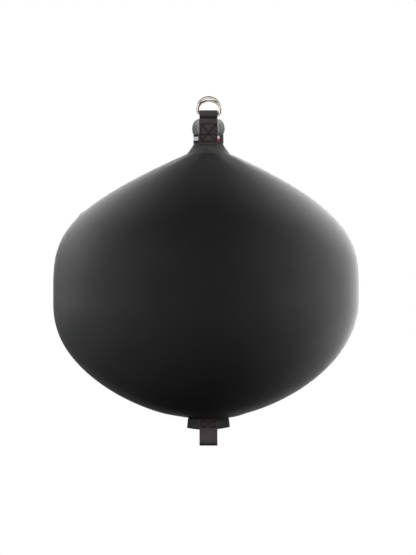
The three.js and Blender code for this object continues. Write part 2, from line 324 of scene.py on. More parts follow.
@dataclass(frozen=True)
class BladderSkin(Finish):
    """The smooth rubbery skin of the inner bladder."""

    colour: Colour = (0.02, 0.02, 0.022)
    worn: Colour = (0.028, 0.028, 0.03)

    def dress(self, nodes: Nodes) -> None:
        """Builds a smooth skin with faint clouding.

        Args:
            nodes: The tree to build it in.
        """
        clouds = nodes.grain(30.0)
        nodes.surface(
            Base_Color=nodes.blend(clouds, self.colour, self.worn),
            Roughness=0.55,
            Normal=nodes.relief(clouds, 0.3 * MM, 0.4),
        )


@dataclass(frozen=True)
class MouldedPlastic(Finish):
    """Moulded plastic of the valve."""

    colour: Colour = (0.008, 0.008, 0.009)
    rubbed: Colour = (0.020, 0.020, 0.020)

    def dress(self, nodes: Nodes) -> None:
        """Builds fine moulding grain with lighter rubbed spots.

        Args:
            nodes: The tree to build it in.
        """
        spots = nodes.grain(900.0, 3.0)
        nodes.surface(
            Base_Color=nodes.blend(nodes.ramp(spots, 0.55, 0.8), self.colour, self.rubbed),
            Roughness=0.5,
            Normal=nodes.relief(spots, 0.1 * MM, 0.4),
        )


@dataclass(frozen=True)
class WovenWebbing(Finish):
    """Heavy webbing: rows of picks along its length, with browner selvedges and seared ends."""

    length: float
    dark: Colour = (0.042, 0.035, 0.0355)
    light: Colour = (0.097, 0.081, 0.082)
    selvedge: Colour = (0.110, 0.066, 0.056)
    seared: Colour = (0.105, 0.048, 0.040)
    # painted shade: the colour that stitch dips and creases are darkened towards
    painted_crease_shade: Colour = (0.012, 0.010, 0.010)
    half_width: float = 25 * MM
    selvedge_reach: float = 2.4 * MM
    end_band: float = 2.6 * MM
    pick_length: float = 2.8 * MM
    row_width: float = 1.5 * MM
    pick_depth: float = 0.3 * MM
    picks_scale: float = 100.0

    def picks(self, nodes: Nodes, across: Socket, along: Socket) -> Socket:
        """Lays the weave's picks in rows.

        Args:
            nodes: The tree to build it in.
            across: The place across the webbing.
            along: The place along it.

        Returns:
            The gaps between the picks, from 0 to 1.
        """
        inputs = {
            "Vector": nodes.add("CombineXYZ", {"X": along, "Y": across}).outputs[0],
            "Scale": self.picks_scale,
            "Brick Width": self.picks_scale * self.pick_length,
            "Row Height": self.picks_scale * self.row_width,
            "Mortar Size": 0.05,
            "Mortar Smooth": 1.0,
        }
        return nodes.add("TexBrick", inputs).outputs["Fac"]

    def dress(self, nodes: Nodes) -> None:
        """Builds the weave on the piece's own lengthwise coordinates.

        Args:
            nodes: The tree to build it in.
        """
        weave = nodes.add("UVMap", uv_map=Draft.WEAVE).outputs["UV"]
        across, along = nodes.add("SeparateXYZ", {"Vector": weave}).outputs[:2]
        gaps = self.picks(nodes, across, along)
        yarn = nodes.blend(nodes.grain(420.0), self.dark, self.light)
        face = nodes.blend(nodes.math("MULTIPLY", gaps, 0.4), yarn, self.dark)
        from_centre = nodes.math("ABSOLUTE", across)
        edge = nodes.ramp(from_centre, self.half_width - self.selvedge_reach, self.half_width - 0.2 * MM)
        edged = nodes.blend(nodes.math("MULTIPLY", edge, 0.75), face, self.selvedge)
        half = self.length / 2
        from_middle = nodes.math("ABSOLUTE", nodes.math("SUBTRACT", along, half))
        end = nodes.ramp(from_middle, half - self.end_band, half - 0.4 * self.end_band)
        # painted shade: the same pull that sinks the face at stitches and creases darkens its colour, for the
        # shade in those dips
        pull = nodes.add("Attribute", attribute_name=Draft.PULL).outputs["Fac"]
        nodes.surface(
            Base_Color=nodes.blend(
                nodes.math("MULTIPLY", pull, 0.9), nodes.blend(end, edged, self.seared), self.painted_crease_shade
            ),
            Roughness=0.82,
            Normal=nodes.relief(nodes.math("SUBTRACT", 1.0, gaps), self.pick_depth, 0.8),
            Specular_IOR_Level=0.2,
        )


@dataclass(frozen=True)
class WovenTape(Finish):
    """Thin flat tape or tab cloth with a fine rib across it."""

    colour: Colour
    shade: Colour
    ribs_per_metre: float = 900.0

    def dress(self, nodes: Nodes) -> None:
        """Builds the rib and a soft change of tone.

        Args:
            nodes: The tree to build it in.
        """
        inputs = {"Vector": nodes.place(), "Scale": self.ribs_per_metre / 3, "Distortion": 0.6}
        ribs = nodes.add("TexWave", inputs, bands_direction="Z").outputs["Fac"]
        tone = nodes.math("MULTIPLY", nodes.grain(300.0), nodes.ramp(ribs, -0.6, 1.0))
        nodes.surface(
            Base_Color=nodes.blend(tone, self.shade, self.colour),
            Roughness=0.85,
            Normal=nodes.relief(ribs, 0.12 * MM, 0.6),
            Sheen_Weight=0.1,
        )


@dataclass(frozen=True)
class Thread(Finish):
    """Twisted sewing thread."""

    colour: Colour = (0.034, 0.026, 0.025)
    shade: Colour = (0.014, 0.011, 0.011)

    def dress(self, nodes: Nodes) -> None:
        """Builds the twist as fine slanted bands.

        Args:
            nodes: The tree to build it in.
        """
        inputs = {"Vector": nodes.place(), "Scale": 520.0, "Distortion": 1.0}
        twist = nodes.add("TexWave", inputs, bands_direction="DIAGONAL").outputs["Fac"]
        nodes.surface(
            Base_Color=nodes.blend(twist, self.shade, self.colour),
            Roughness=0.7,
            Normal=nodes.relief(twist, 0.15 * MM, 0.6),
            Specular_IOR_Level=0.15,
        )


@dataclass(frozen=True)
class PolishedSteel(Finish):
    """Polished stainless wire with fine rubbing marks."""

    bright: Colour = (0.80, 0.76, 0.71)
    dull: Colour = (0.55, 0.49, 0.45)

    def dress(self, nodes: Nodes) -> None:
        """Builds the steel with patchy polish and hairline scratches.

        Args:
            nodes: The tree to build it in.
        """
        patches = nodes.grain(160.0, 4.0)
        stretched = nodes.add("Mapping", {"Vector": nodes.place(), "Scale": (1.0, 9.0, 1.0)}).outputs[0]
        polish = nodes.add("MapRange", {"Value": patches, "To Min": 0.12, "To Max": 0.28})
        nodes.surface(
            Base_Color=nodes.blend(nodes.ramp(patches, 0.45, 0.8), self.bright, self.dull),
            Metallic=1.0,
            Roughness=polish.outputs["Result"],
            Normal=nodes.relief(nodes.grain(1500.0, place=stretched), 0.03 * MM, 0.25),
        )


@dataclass(frozen=True)
class PaleFloor(Finish):
    """The pale studio floor, glowing a little and clear when seen from below."""

    colour: Colour = (0.80, 0.80, 0.79)
    shade: Colour = (0.79, 0.79, 0.79)
    glow: float = 1.22

    def dress(self, nodes: Nodes) -> None:
        """Builds an even matte floor with faint clouding.

        Args:
            nodes: The tree to build it in.
        """
        clouds = nodes.blend(nodes.grain(0.6), self.shade, self.colour)
        nodes.surface(
            Base_Color=clouds,
            Roughness=0.7,
            Emission_Color=clouds,
            Emission_Strength=self.glow,
            Alpha=nodes.math("SUBTRACT", 1.0, nodes.add("NewGeometry").outputs["Backfacing"]),
        )


# Meshes


class Draft:
    """The points, faces and weave coordinates of one piece while it is made."""

    WEAVE = "weave"
    PULL = "pull"
    SHARP = math.radians(42)

    def __init__(self) -> None:
        """Starts an empty draft."""
        self.points: list[Vector] = []
        self.faces: list[tuple[int, ...]] = []
        self.weave: list[tuple[float, float]] = []
        self.pull: list[float] = []

    def _rows(self, rows: Grid) -> list[list[int]]:
        """Adds rows of points.

        Args:
            rows: The points, row by row.

        Returns:
            Their numbers, row by row.
        """
        numbers = []
        for row in rows:
            first = len(self.points)
            self.points.extend(row)
            numbers.append(list(range(first, first + len(row))))
        return numbers

    def _skin(self, numbers: list[list[int]], closed: bool) -> None:
        """Joins neighbouring rows with four-sided faces.

        Args:
            numbers: The points' numbers, row by row.
            closed: Whether each row ends where it starts.
        """
        for low, high in zip(numbers, numbers[1:]):
            count = len(low)
            for i in range(count if closed else count - 1):
                k = (i + 1) % count
                self.faces.append((low[i], low[k], high[k], high[i]))

    def loft(self, loops: Grid, ring: bool = False) -> None:
        """Skins closed loops into one closed body.

        Args:
            loops: The loops, with as many points each.
            ring: Whether the last loop joins the first, in place of two end faces.
        """
        numbers = self._rows(loops)
        self._skin(numbers + numbers[:1] if ring else numbers, True)
        if not ring:
            self.faces += [tuple(reversed(numbers[0])), tuple(numbers[-1])]

    def shell(self, outer: Grid, inner: Grid, closed: bool = False, weave: Grid | None = None) -> None:
        """Makes a sheet with two faces and closes its borders.

        Args:
            outer: The outer face's points, row by row.
            inner: The inner face's points, in the same rows.
            closed: Whether each row ends where it starts.
            weave: The place of each point on the flat cloth, and as its Z how hard stitches pull at it.
        """
        top, under = self._rows(outer), self._rows(inner)
        self._skin(top, closed)
        self._skin([row[::-1] for row in under], closed)
        self._skin([top[0][::-1], under[0][::-1]], closed)
        self._skin([top[-1], under[-1]], closed)
        if not closed:
            self._skin([[row[0] for row in top], [row[0] for row in under]], False)
            self._skin([[row[-1] for row in under], [row[-1] for row in top]], False)
        if weave:
            for _ in (outer, inner):
                self.weave.extend((p.x, p.y) for row in weave for p in row)
                self.pull.extend(p.z for row in weave for p in row)

    def patch(
        self,
        rows: Sequence[float],
        columns: Sequence[float],
        hem: float,
        faces: Callable[[float, float, float], tuple[Vector, Vector]],
    ) -> None:
        """Makes a small field of cloth, thinner at its edges.

        Args:
            rows: Its rows' places.
            columns: Its columns' places.
            hem: The share of its thickness at its very edge.
            faces: Gives the outer and inner point for a column, a row and a share of the thickness.
        """
        thins = (hem, 0.85, 1.0)
        outer, inner = [], []
        for i, row in enumerate(rows):
            ends = min(i, len(rows) - 1 - i)
            edges = (min(ends, j, len(columns) - 1 - j, 2) for j in range(len(columns)))
            pairs = [faces(column, row, thins[edge]) for column, edge in zip(columns, edges)]
            outer.append([top for top, _ in pairs])
            inner.append([under for _, under in pairs])
        self.shell(outer, inner)

    def object(
        self, name: str, finish: Finish, body: Body, slot: str, replaces: Sequence[str] = ()
    ) -> bpy.types.Object:
        """Turns the draft into a finished piece on its body.

        Args:
            name: The piece's name.
            finish: What it is dressed in.
            body: The body that carries it.
            slot: The record's material slot for the piece; not used.
            replaces: The plain solids that it stands for.

        Returns:
            The piece.
        """
        mesh = bpy.data.meshes.new(name)
        mesh.from_pydata(self.points, [], self.faces)
        if self.weave:
            layer = mesh.uv_layers.new(name=self.WEAVE)
            for loop in mesh.loops:
                layer.data[loop.index].uv = self.weave[loop.vertex_index]
            mesh.attributes.new(self.PULL, "FLOAT", "POINT").data.foreach_set("value", self.pull)
        work = bmesh.new()
        work.from_mesh(mesh)
        bmesh.ops.recalc_face_normals(work, faces=work.faces)
        work.to_mesh(mesh)
        work.free()
        mesh.shade_smooth()
        mesh.set_sharp_from_angle(angle=self.SHARP)
        mesh.materials.append(finish.material())
        piece = bpy.data.objects.new(name, mesh)
        bpy.context.scene.collection.objects.link(piece)
        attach(piece, body.value)
        if replaces:
            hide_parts(*replaces)
        log.info("%s: %d points on %s", name, len(mesh.vertices), body.value)
        return piece


def dress_node(name: str, finish: Finish) -> None:
    """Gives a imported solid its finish.

    Args:
        name: The solid's name.
        finish: What it is dressed in.
    """
    materials = frame["nodes"][name].data.materials
    materials.clear()
    materials.append(finish.material())
    log.info("%s: dressed as packed", name)


class Spot(NamedTuple):
    """A place on a surface with the way out of it."""

    point: Vector
    out: Vector


class StitchCut(NamedTuple):
    """A section of a stitch: its place along it, its share of the thread's radius and its lift in radii."""

    along: float
    thick: float
    lift: float


STITCH_CUTS = [StitchCut(*cut) for cut in (
    (0, 0.35, -0.9), (0.16, 0.85, 0.05), (0.5, 1, 0.35), (0.84, 0.85, 0.05), (1, 0.35, -0.9),
)]


@dataclass(frozen=True)
class StitchRow:
    """A run of equal stitches that lie half sunk in cloth."""

    length: float = 3.6 * MM
    space: float = 1.0 * MM
    thread: float = 0.45 * MM
    sides: int = 6

    def sew(self, draft: Draft, track: Callable[[float], Spot], run: float) -> None:
        """Adds the stitches of one row.

        Args:
            draft: The draft that they are added to.
            track: Gives the spot at a distance along the row.
            run: The row's length.
        """
        count = max(1, round(run / (self.length + self.space)))
        pitch = run / count
        for i in range(count):
            start = i * pitch + self.space / 2
            self._stitch(draft, track, start, start + pitch - self.space)

    def _stitch(self, draft: Draft, track: Callable[[float], Spot], start: float, end: float) -> None:
        """Adds one stitch, thick in its middle and sunk at its ends.

        Args:
            draft: The draft that it is added to.
            track: Gives the spot at a distance along the row.
            start: Where the stitch starts along the row.
            end: Where it ends.
        """
        along = (track(end).point - track(start).point).normalized()
        loops = []
        for cut in STITCH_CUTS:
            spot = track(mix(start, end, cut.along))
            aside = along.cross(spot.out).normalized()
            centre = spot.point + spot.out * cut.lift * self.thread
            loops.append([
                centre + self.thread * cut.thick * (aside * math.cos(turn) + spot.out * math.sin(turn))
                for turn in round_angles(self.sides)
            ])
        draft.loft(loops)


# The ball


class OutlinePoint(NamedTuple):
    """A point of the ball's outline with its outward direction and its distance along the outline."""

    radius: float
    rise: float
    out_radius: float
    out_rise: float
    run: float


@dataclass
class BallOutline:
    """The ball's outline, from the tail rim past its widest place, the belly, to the neck rim.

    The ball hangs a little to the left, more so below than above, and not at all at its rims.
    """

    radius: float = 425.5 * MM
    belly_drop: float = 13.5 * MM
    neck_rim_radius: float = 60 * MM
    shoulder_angle: float = 24.3
    shoulder_reach: float = 419 * MM
    upper_flank_reach: float = 158 * MM
    tail_rim_radius: float = 56.8 * MM
    hip_angle: float = 7
    hip_reach: float = 135 * MM
    lower_flank_reach: float = 190 * MM
    neck_lean: float = -6 * MM
    tail_lean: float = -11 * MM
    neck_lean_height: float = 190 * MM
    tail_lean_depth: float = 155 * MM
    tail_return: float = 14.5 * MM
    curve_steps: int = 400

    def drift(self, rise: float) -> float:
        """Finds how far the ball hangs to one side.

        Args:
            rise: The rise at which it is asked.

        Returns:
            The distance along X.
        """
        if rise > 0:
            return self.neck_lean * ease((NECK_RIM_RISE - rise) / self.neck_lean_height)
        if rise > self.tail_return - TAIL_RIM_DROP:
            return mix(self.neck_lean, self.tail_lean, ease(-rise / self.tail_lean_depth))
        return self.tail_lean * ease((rise + TAIL_RIM_DROP) / self.tail_return)

    def _curve(self, *corners: tuple[float, float]) -> np.ndarray:
        """Samples one cubic curve.

        Args:
            corners: Its four control points in radius and rise.

        Returns:
            The points, one to a row.
        """
        t = np.linspace(0, 1, self.curve_steps + 1)[:, None]
        a, b, c, d = (np.array(corner) for corner in corners)
        return (1 - t) ** 3 * a + 3 * t * (1 - t) ** 2 * b + 3 * t**2 * (1 - t) * c + t**3 * d

    def points(self, count: int) -> list[OutlinePoint]:
        """Spaces points evenly along the outline.

        Args:
            count: How many steps there are between the rims.

        Returns:
            The points from the tail rim up.
        """
        shoulder, hip = math.radians(self.shoulder_angle), math.radians(self.hip_angle)
        tail, neck = (self.tail_rim_radius, -TAIL_RIM_DROP), (self.neck_rim_radius, NECK_RIM_RISE)
        belly = (self.radius, -self.belly_drop)
        lower = self._curve(
            tail,
            (tail[0] + self.hip_reach * math.cos(hip), tail[1] + self.hip_reach * math.sin(hip)),
            (belly[0], belly[1] - self.lower_flank_reach),
            belly,
        )
        upper = self._curve(
            belly,
            (belly[0], belly[1] + self.upper_flank_reach),
            (
                neck[0] + self.shoulder_reach * math.cos(shoulder),
                neck[1] - self.shoulder_reach * math.sin(shoulder),
            ),
            neck,
        )
        fine = np.vstack([lower, upper[1:]])
        runs = run_lengths(fine)
        wanted = np.linspace(0, runs[-1], count + 1)
        radius, rise, step_r, step_z = sample(runs, np.hstack([fine, np.gradient(fine, axis=0)]), wanted)
        size = np.hypot(step_r, step_z)
        rows = np.stack([radius, rise, step_z / size, -step_r / size, wanted], axis=1)
        return [OutlinePoint(*row) for row in rows.tolist()]


@dataclass
class BallCover:
    """The fabric cover of the ball: a front and a rear panel, joined by a felled seam down each side."""

    outline: BallOutline = field(default_factory=BallOutline)
    wall: float = 1.5 * MM
    rows: int = 170
    broad_columns: int = 84
    seam_steps: int = 14
    seam_band: float = 6.5 * MM
    seam_rise: float = 0.5 * MM
    seam_slope: float = 1.6 * MM
    groove_depth: float = 0.7 * MM
    groove_reach: float = 0.8 * MM
    stitch_inset: float = 4.2 * MM
    stitch_sink: float = 0.35 * MM
    stitch_reach: float = 0.9 * MM
    seam_end: float = 12 * MM
    puckers_per_metre: float = 38
    pucker_height: float = 0.3 * MM
    pucker_reach: float = 26 * MM
    tuck_rise: float = 229 * MM
    tuck_height: float = 3.2 * MM
    tuck_length: float = 6 * MM
    tuck_width: float = 13 * MM
    gathers: int = 11
    gather_height: float = 0.5 * MM
    gather_reach: float = 42 * MM
    sewn: StitchRow = StitchRow(length=4.6 * MM, space=1.6 * MM, thread=0.28 * MM, sides=5)

    def __post_init__(self) -> None:
        """Lays out the rows."""
        self.spots = self.outline.points(self.rows)
        self.table = np.array(self.spots)

    def relief(self, side: Side, turn: float, from_seam: float, spot: OutlinePoint) -> float:
        """Works out how far the cloth stands off its plain outline.

        Args:
            side: The panel's side.
            turn: The angle from the right-hand seam, in radians.
            from_seam: The distance to the nearer seam.
            spot: The place on the outline.

        Returns:
            The lift in metres.
        """
        left = turn > math.pi / 2
        band = self.seam_rise * (1 - ease((from_seam - self.seam_band) / self.seam_slope))
        groove = self.groove_depth * bump(from_seam, self.groove_reach)
        sunk = self.stitch_sink * bump(from_seam - self.stitch_inset, self.stitch_reach)
        phase = Vector((spot.run * self.puckers_per_metre, side * 3.1, 7.0 if left else 0.0))
        pucker = self.pucker_height * noise.noise(phase) * bump(from_seam, self.pucker_reach)
        gather = self.gather_height * math.cos(self.gathers * turn + side)
        gather *= bump(spot.rise - NECK_RIM_RISE, self.gather_reach) * ease(from_seam / (30 * MM))
        tuck = self.tuck_height * bump(spot.rise - self.tuck_rise, self.tuck_length)
        tuck *= bump(from_seam, self.tuck_width) * left
        off_rim = min(1.0, (spot.radius - 50 * MM) / (60 * MM))
        return (band - groove - sunk + pucker + gather) * off_rim + tuck

    def point(self, side: Side, turn: float, spot: OutlinePoint, lift: float) -> Vector:
        """Places a point of the cover.

        Args:
            side: The panel's side.
            turn: The angle from the right-hand seam, in radians.
            spot: The place on the outline.
            lift: The distance outwards from the outline.

        Returns:
            The point.
        """
        radius = spot.radius + lift * spot.out_radius
        aside = radius * math.cos(turn) + self.outline.drift(spot.rise)
        depth = max(radius * math.sin(turn), SEAM_GAP / 3)
        return Vector((aside, side * depth, LEVEL + spot.rise + lift * spot.out_rise))

    def turns(self, radius: float) -> list[float]:
        """Spaces a panel's columns, close together by the seams.

        Args:
            radius: The ball's radius in this row.

        Returns:
            The angles from the right-hand seam to the left-hand one.
        """
        zone = min(2 * self.seam_band / radius, 0.5)
        near = [zone * i / self.seam_steps for i in range(self.seam_steps)]
        broad = [mix(zone, math.pi - zone, i / self.broad_columns) for i in range(self.broad_columns + 1)]
        return near + broad + [math.pi - turn for turn in reversed(near)]

    def panel(self, side: Side) -> bpy.types.Object:
        """Builds one panel.

        Args:
            side: The panel's side.

        Returns:
            The panel's piece.
        """
        outer, inner = [], []
        for spot in self.spots:
            turns = self.turns(spot.radius)
            lifts = (self.relief(side, t, spot.radius * min(t, math.pi - t), spot) for t in turns)
            outer.append([self.point(side, turn, spot, lift) for turn, lift in zip(turns, lifts)])
            inner.append([self.point(side, turn, spot, -self.wall) for turn in turns])
        draft = Draft()
        draft.shell(outer, inner)
        name, node = f"ball_panel_{side.name.lower()}", f"cover_{side.name.lower()}"
        return draft.object(name, CoverFabric(), Body.FENDER, "cover_fabric", [node])

    def seam_spot(self, side: Side, left: bool, run: float) -> Spot:
        """Finds a place on a row of seam stitches.

        Args:
            side: The panel's side.
            left: Whether it is the left-hand seam.
            run: The distance along the row.

        Returns:
            The place and the way out.
        """
        spot = OutlinePoint(*sample(self.table[:, -1], self.table, run + self.seam_end))
        turn = self.stitch_inset / spot.radius
        turn = math.pi - turn if left else turn
        lift = self.relief(side, turn, self.stitch_inset, spot)
        level = Vector((math.cos(turn), side * math.sin(turn), 0.0)) * spot.out_radius
        return Spot(self.point(side, turn, spot, lift), (level + Vector((0, 0, spot.out_rise))).normalized())

    def build(self) -> None:
        """Builds both panels and sews two rows down each side seam."""
        for side in Side:
            self.panel(side)
        draft, run = Draft(), self.spots[-1].run - 2 * self.seam_end
        for side in Side:
            for left in (False, True):
                self.sewn.sew(draft, partial(self.seam_spot, side, left), run)
        thread = Thread((0.030, 0.031, 0.031), (0.014, 0.014, 0.014))
        draft.object("side_seam_stitches", thread, Body.FENDER, "cover_fabric")


@dataclass
class InnerBladder:
    """The air bladder: the same shape as the cover, one gap inside it, closed by a dome at each rim."""

    outline: BallOutline = field(default_factory=BallOutline)
    inset: float = 1.9 * MM
    neck_dome_angle: float = 23
    tail_dome_angle: float = 3
    dome_rings: int = 8
    rows: int = 80
    round_steps: int = 128

    def ring(self, radius: float, rise: float, drift: float) -> list[Vector]:
        """Returns a level ring of points whose middle has drifted to one side."""
        angles = round_angles(self.round_steps)
        return [Vector((radius * math.cos(t) + drift, radius * math.sin(t), LEVEL + rise)) for t in angles]

    def dome(self, rim: OutlinePoint, angle: float, way: int) -> Grid:
        """Makes the rings of a dome.

        Args:
            rim: The outline's end that it closes.
            angle: Its slope at the rim, in degrees.
            way: 1 for a dome that rises and -1 for one that hangs.

        Returns:
            The rings from the rim to the middle.
        """
        radius = rim.radius / math.sin(math.radians(angle))
        rings = []
        for i in range(self.dome_rings):
            slope = math.radians(angle * (1 - (i + 1) / (self.dome_rings + 0.2)))
            sunk = radius * (math.cos(math.radians(angle)) - math.cos(slope))
            rings.append(self.ring(radius * math.sin(slope), rim.rise - way * sunk, 0.0))
        return rings

    def build(self) -> None:
        """Builds the bladder."""
        inside = [
            spot._replace(
                radius=spot.radius - self.inset * spot.out_radius, rise=spot.rise - self.inset * spot.out_rise
            )
            for spot in self.outline.points(self.rows)
        ]
        flank = [self.ring(spot.radius, spot.rise, self.outline.drift(spot.rise)) for spot in inside]
        tail = self.dome(inside[0], self.tail_dome_angle, -1)
        neck = self.dome(inside[-1], self.neck_dome_angle, 1)
        draft = Draft()
        draft.loft([*reversed(tail), *flank, *neck])
        bladder = draft.object("air_bladder", BladderSkin(), Body.FENDER, "bladder_skin", ["bladder"])


# The neck


@dataclass
class GatheredNeck:
    """The cover's gathered end: a flattened cone, the pinch under the band, two lobes and a rounded crown."""

    rim_radius: float = 60 * MM
    shoulder_angle: float = 25.5
    straight_run: float = 4 * MM
    width_sweep: float = 1.15
    depth_sweep: float = 1.5
    pinch_width: float = 81 * MM
    pinch_depth: float = 18 * MM
    lobe_width: float = 91.5 * MM
    lobe_rise: float = 15.5 * MM
    lobe_fullness: float = 8 * MM
    lobe_start: float = 0.7
    crown_rise: float = 29 * MM
    crown_squareness: float = 2.2
    top_width: float = 44 * MM
    top_depth: float = 4.4 * MM
    wall: float = 1.5 * MM
    pleat: float = 0.9 * MM
    pleat_waves: Sequence[tuple[float, int, float]] = ((0.3, 17, 0.6), (0.2, 29, 2.0))
    round_steps: int = 144

    def __post_init__(self) -> None:
        """Works out the heights that other pieces rest on."""
        self.rim = LEVEL + NECK_RIM_RISE
        self.band_bottom = self.rim + NECK_CONE_HEIGHT
        self.band_top = self.band_bottom + BAND_WIDTH
        self.lobe_height = self.band_top + self.lobe_rise
        self.top = self.lobe_height + self.crown_rise

    def loop(
        self, height: float, half_width: float, half_depth: float, lobe: float = 0.0, pleat: float = 0.0
    ) -> list[Vector]:
        """Makes one section of the neck.

        Args:
            height: Its height.
            half_width: Its half width along X.
            half_depth: Its half depth along Y, in the middle.
            lobe: How much fuller it is towards its ends.
            pleat: The depth of its gathers.

        Returns:
            The section's points, anticlockwise from above.
        """
        points = []
        for turn in round_angles(self.round_steps):
            waves = (size * math.cos(count * turn + shift) for size, count, shift in self.pleat_waves)
            fold = pleat * (0.5 + sum(waves))
            x = half_width * math.cos(turn) * (1 - fold / half_width)
            y = math.sin(turn) * (half_depth + lobe * math.cos(turn) ** 2)
            points.append(Vector((x, y * (1 - fold / max(half_depth, 6 * MM)), height)))
        return points

    def cone(self, share: float, inset: float = 0.0) -> list[Vector]:
        """Makes a section between the rim and the pinch.

        Args:
            share: How far up it is, from 0 to 1.
            inset: How far it lies inside the outer face.

        Returns:
            The section's points.
        """
        flattened = min(share / (1 - self.straight_run / NECK_CONE_HEIGHT), 1.0)
        slope = math.radians(self.shoulder_angle)
        start_radius = self.rim_radius - inset * math.sin(slope)
        start_height = self.rim - inset * math.cos(slope)
        return self.loop(
            mix(start_height, self.band_bottom - inset * share, share),
            mix(self.pinch_width / 2 - inset, start_radius, (1 - share) ** self.width_sweep),
            mix(self.pinch_depth / 2 - inset / 2, start_radius, (1 - flattened) ** self.depth_sweep),
            pleat=0.0 if inset else self.pleat * ease((share - 0.25) / 0.75),
        )

    def swelling(self, share: float, pleat: float = 0.0) -> list[Vector]:
        """Makes a section where the neck starts to swell above the band.

        Args:
            share: How far it has swollen, from 0 to 1.
            pleat: The depth of the gathers.

        Returns:
            The section's points.
        """
        grown = self.lobe_start * ease(share)
        return self.loop(
            self.band_top + share * self.lobe_rise / 3,
            mix(self.pinch_width, self.lobe_width, grown) / 2,
            self.pinch_depth / 2,
            self.lobe_fullness * grown,
            pleat,
        )

    def crown(self, steps: int, pleat: float = 0.0) -> Grid:
        """Makes the sections from the lobes' widest level to the top.

        Args:
            steps: How many steps there are.
            pleat: The depth of the gathers.

        Returns:
            The sections.
        """
        loops = []
        for i in range(steps + 1):
            share = 1 - (1 - i / steps) ** 1.6
            full = (1 - share**self.crown_squareness) ** (1 / self.crown_squareness)
            loops.append(self.loop(
                self.lobe_height + share * self.crown_rise,
                mix(self.top_width, self.lobe_width, full) / 2,
                mix(self.top_depth, self.pinch_depth, full) / 2,
                self.lobe_fullness * full,
                pleat * full,
            ))
        return loops

    def seats(self, reach: float) -> list[tuple[float, float]]:
        """Returns where a strap of some reach to each side lies on the neck's front, in Y and Z."""
        loops = [self.swelling(1.0), *self.crown(10)]
        return [(-max(p.y for p in loop if abs(p.x) < reach) - SEAM_GAP, loop[0].z) for loop in loops]

    def build(self, valve: "Valve") -> None:
        """Builds the sleeve with the valve's hole in it.

        Args:
            valve: The valve that looks out through the hole.
        """
        inside = [0.8 * i / 5 for i in range(5, -1, -1)]
        pinch = [
            self.loop(
                mix(self.band_bottom, self.band_top, share), self.pinch_width / 2, self.pinch_depth / 2,
                pleat=self.pleat,
            )
            for share in (0.25, 0.5, 0.75, 1.0)
        ]
        draft = Draft()
        draft.loft([
            *(self.cone(share, mix(self.wall, 2 * self.wall, share)) for share in inside),
            *(self.cone(i / 22) for i in range(23)),
            *pinch,
            *(self.swelling(share, self.pleat) for share in (0.35, 0.7, 1.0)),
            *self.crown(26, self.pleat),
        ])
        fabric = NeckFabric(rim=self.rim, band=self.band_bottom)
        valve.pierce(draft.object("neck_gather", fabric, Body.FENDER, "cover_fabric", ["neck_sleeve"]))


@dataclass
class Valve:
    """The small valve that stands on the bladder below the neck and looks out through the sleeve."""

    clearance: float = 0.3 * MM
    drill_length: float = 30 * MM

    def __post_init__(self) -> None:
        """Finds the valve's place, size and lean from its own solid."""
        places = np.array([v.co for v in frame["nodes"]["valve_body"].data.vertices])
        self.centre = Vector(places.mean(0))
        sizes, ways = np.linalg.eigh(np.cov(places.T))
        self.way = Vector(ways[:, int(np.argmin(sizes))])
        if self.way.z < 0:
            self.way = -self.way
        flat = places - np.outer((places - self.centre) @ np.array(self.way), self.way)
        self.radius = float(np.linalg.norm(flat - np.array(self.centre), axis=1).max())

    def pierce(self, sleeve: bpy.types.Object) -> None:
        """Cuts the hole for the valve.

        Args:
            sleeve: The neck's piece.
        """
        bpy.ops.mesh.primitive_cylinder_add(
            vertices=40, radius=self.radius + self.clearance, depth=self.drill_length,
            location=self.centre, rotation=self.way.to_track_quat("Z", "Y").to_euler(),
        )
        drill = bpy.context.object
        cut = sleeve.modifiers.new("valve_hole", "BOOLEAN")
        cut.object, cut.operation, cut.solver = drill, "DIFFERENCE", "EXACT"
        bpy.context.view_layer.update()
        graph = bpy.context.evaluated_depsgraph_get()
        pierced = bpy.data.meshes.new_from_object(sleeve.evaluated_get(graph))
        sleeve.modifiers.clear()
        sleeve.data = pierced
        bpy.data.objects.remove(drill)

    def build(self) -> None:
        """Dresses the valve's own solids."""
        dress_node("valve_body", MouldedPlastic((0.045, 0.047, 0.046), (0.075, 0.077, 0.076)))
        dress_node("valve_plug", MouldedPlastic())


# Band and tabs


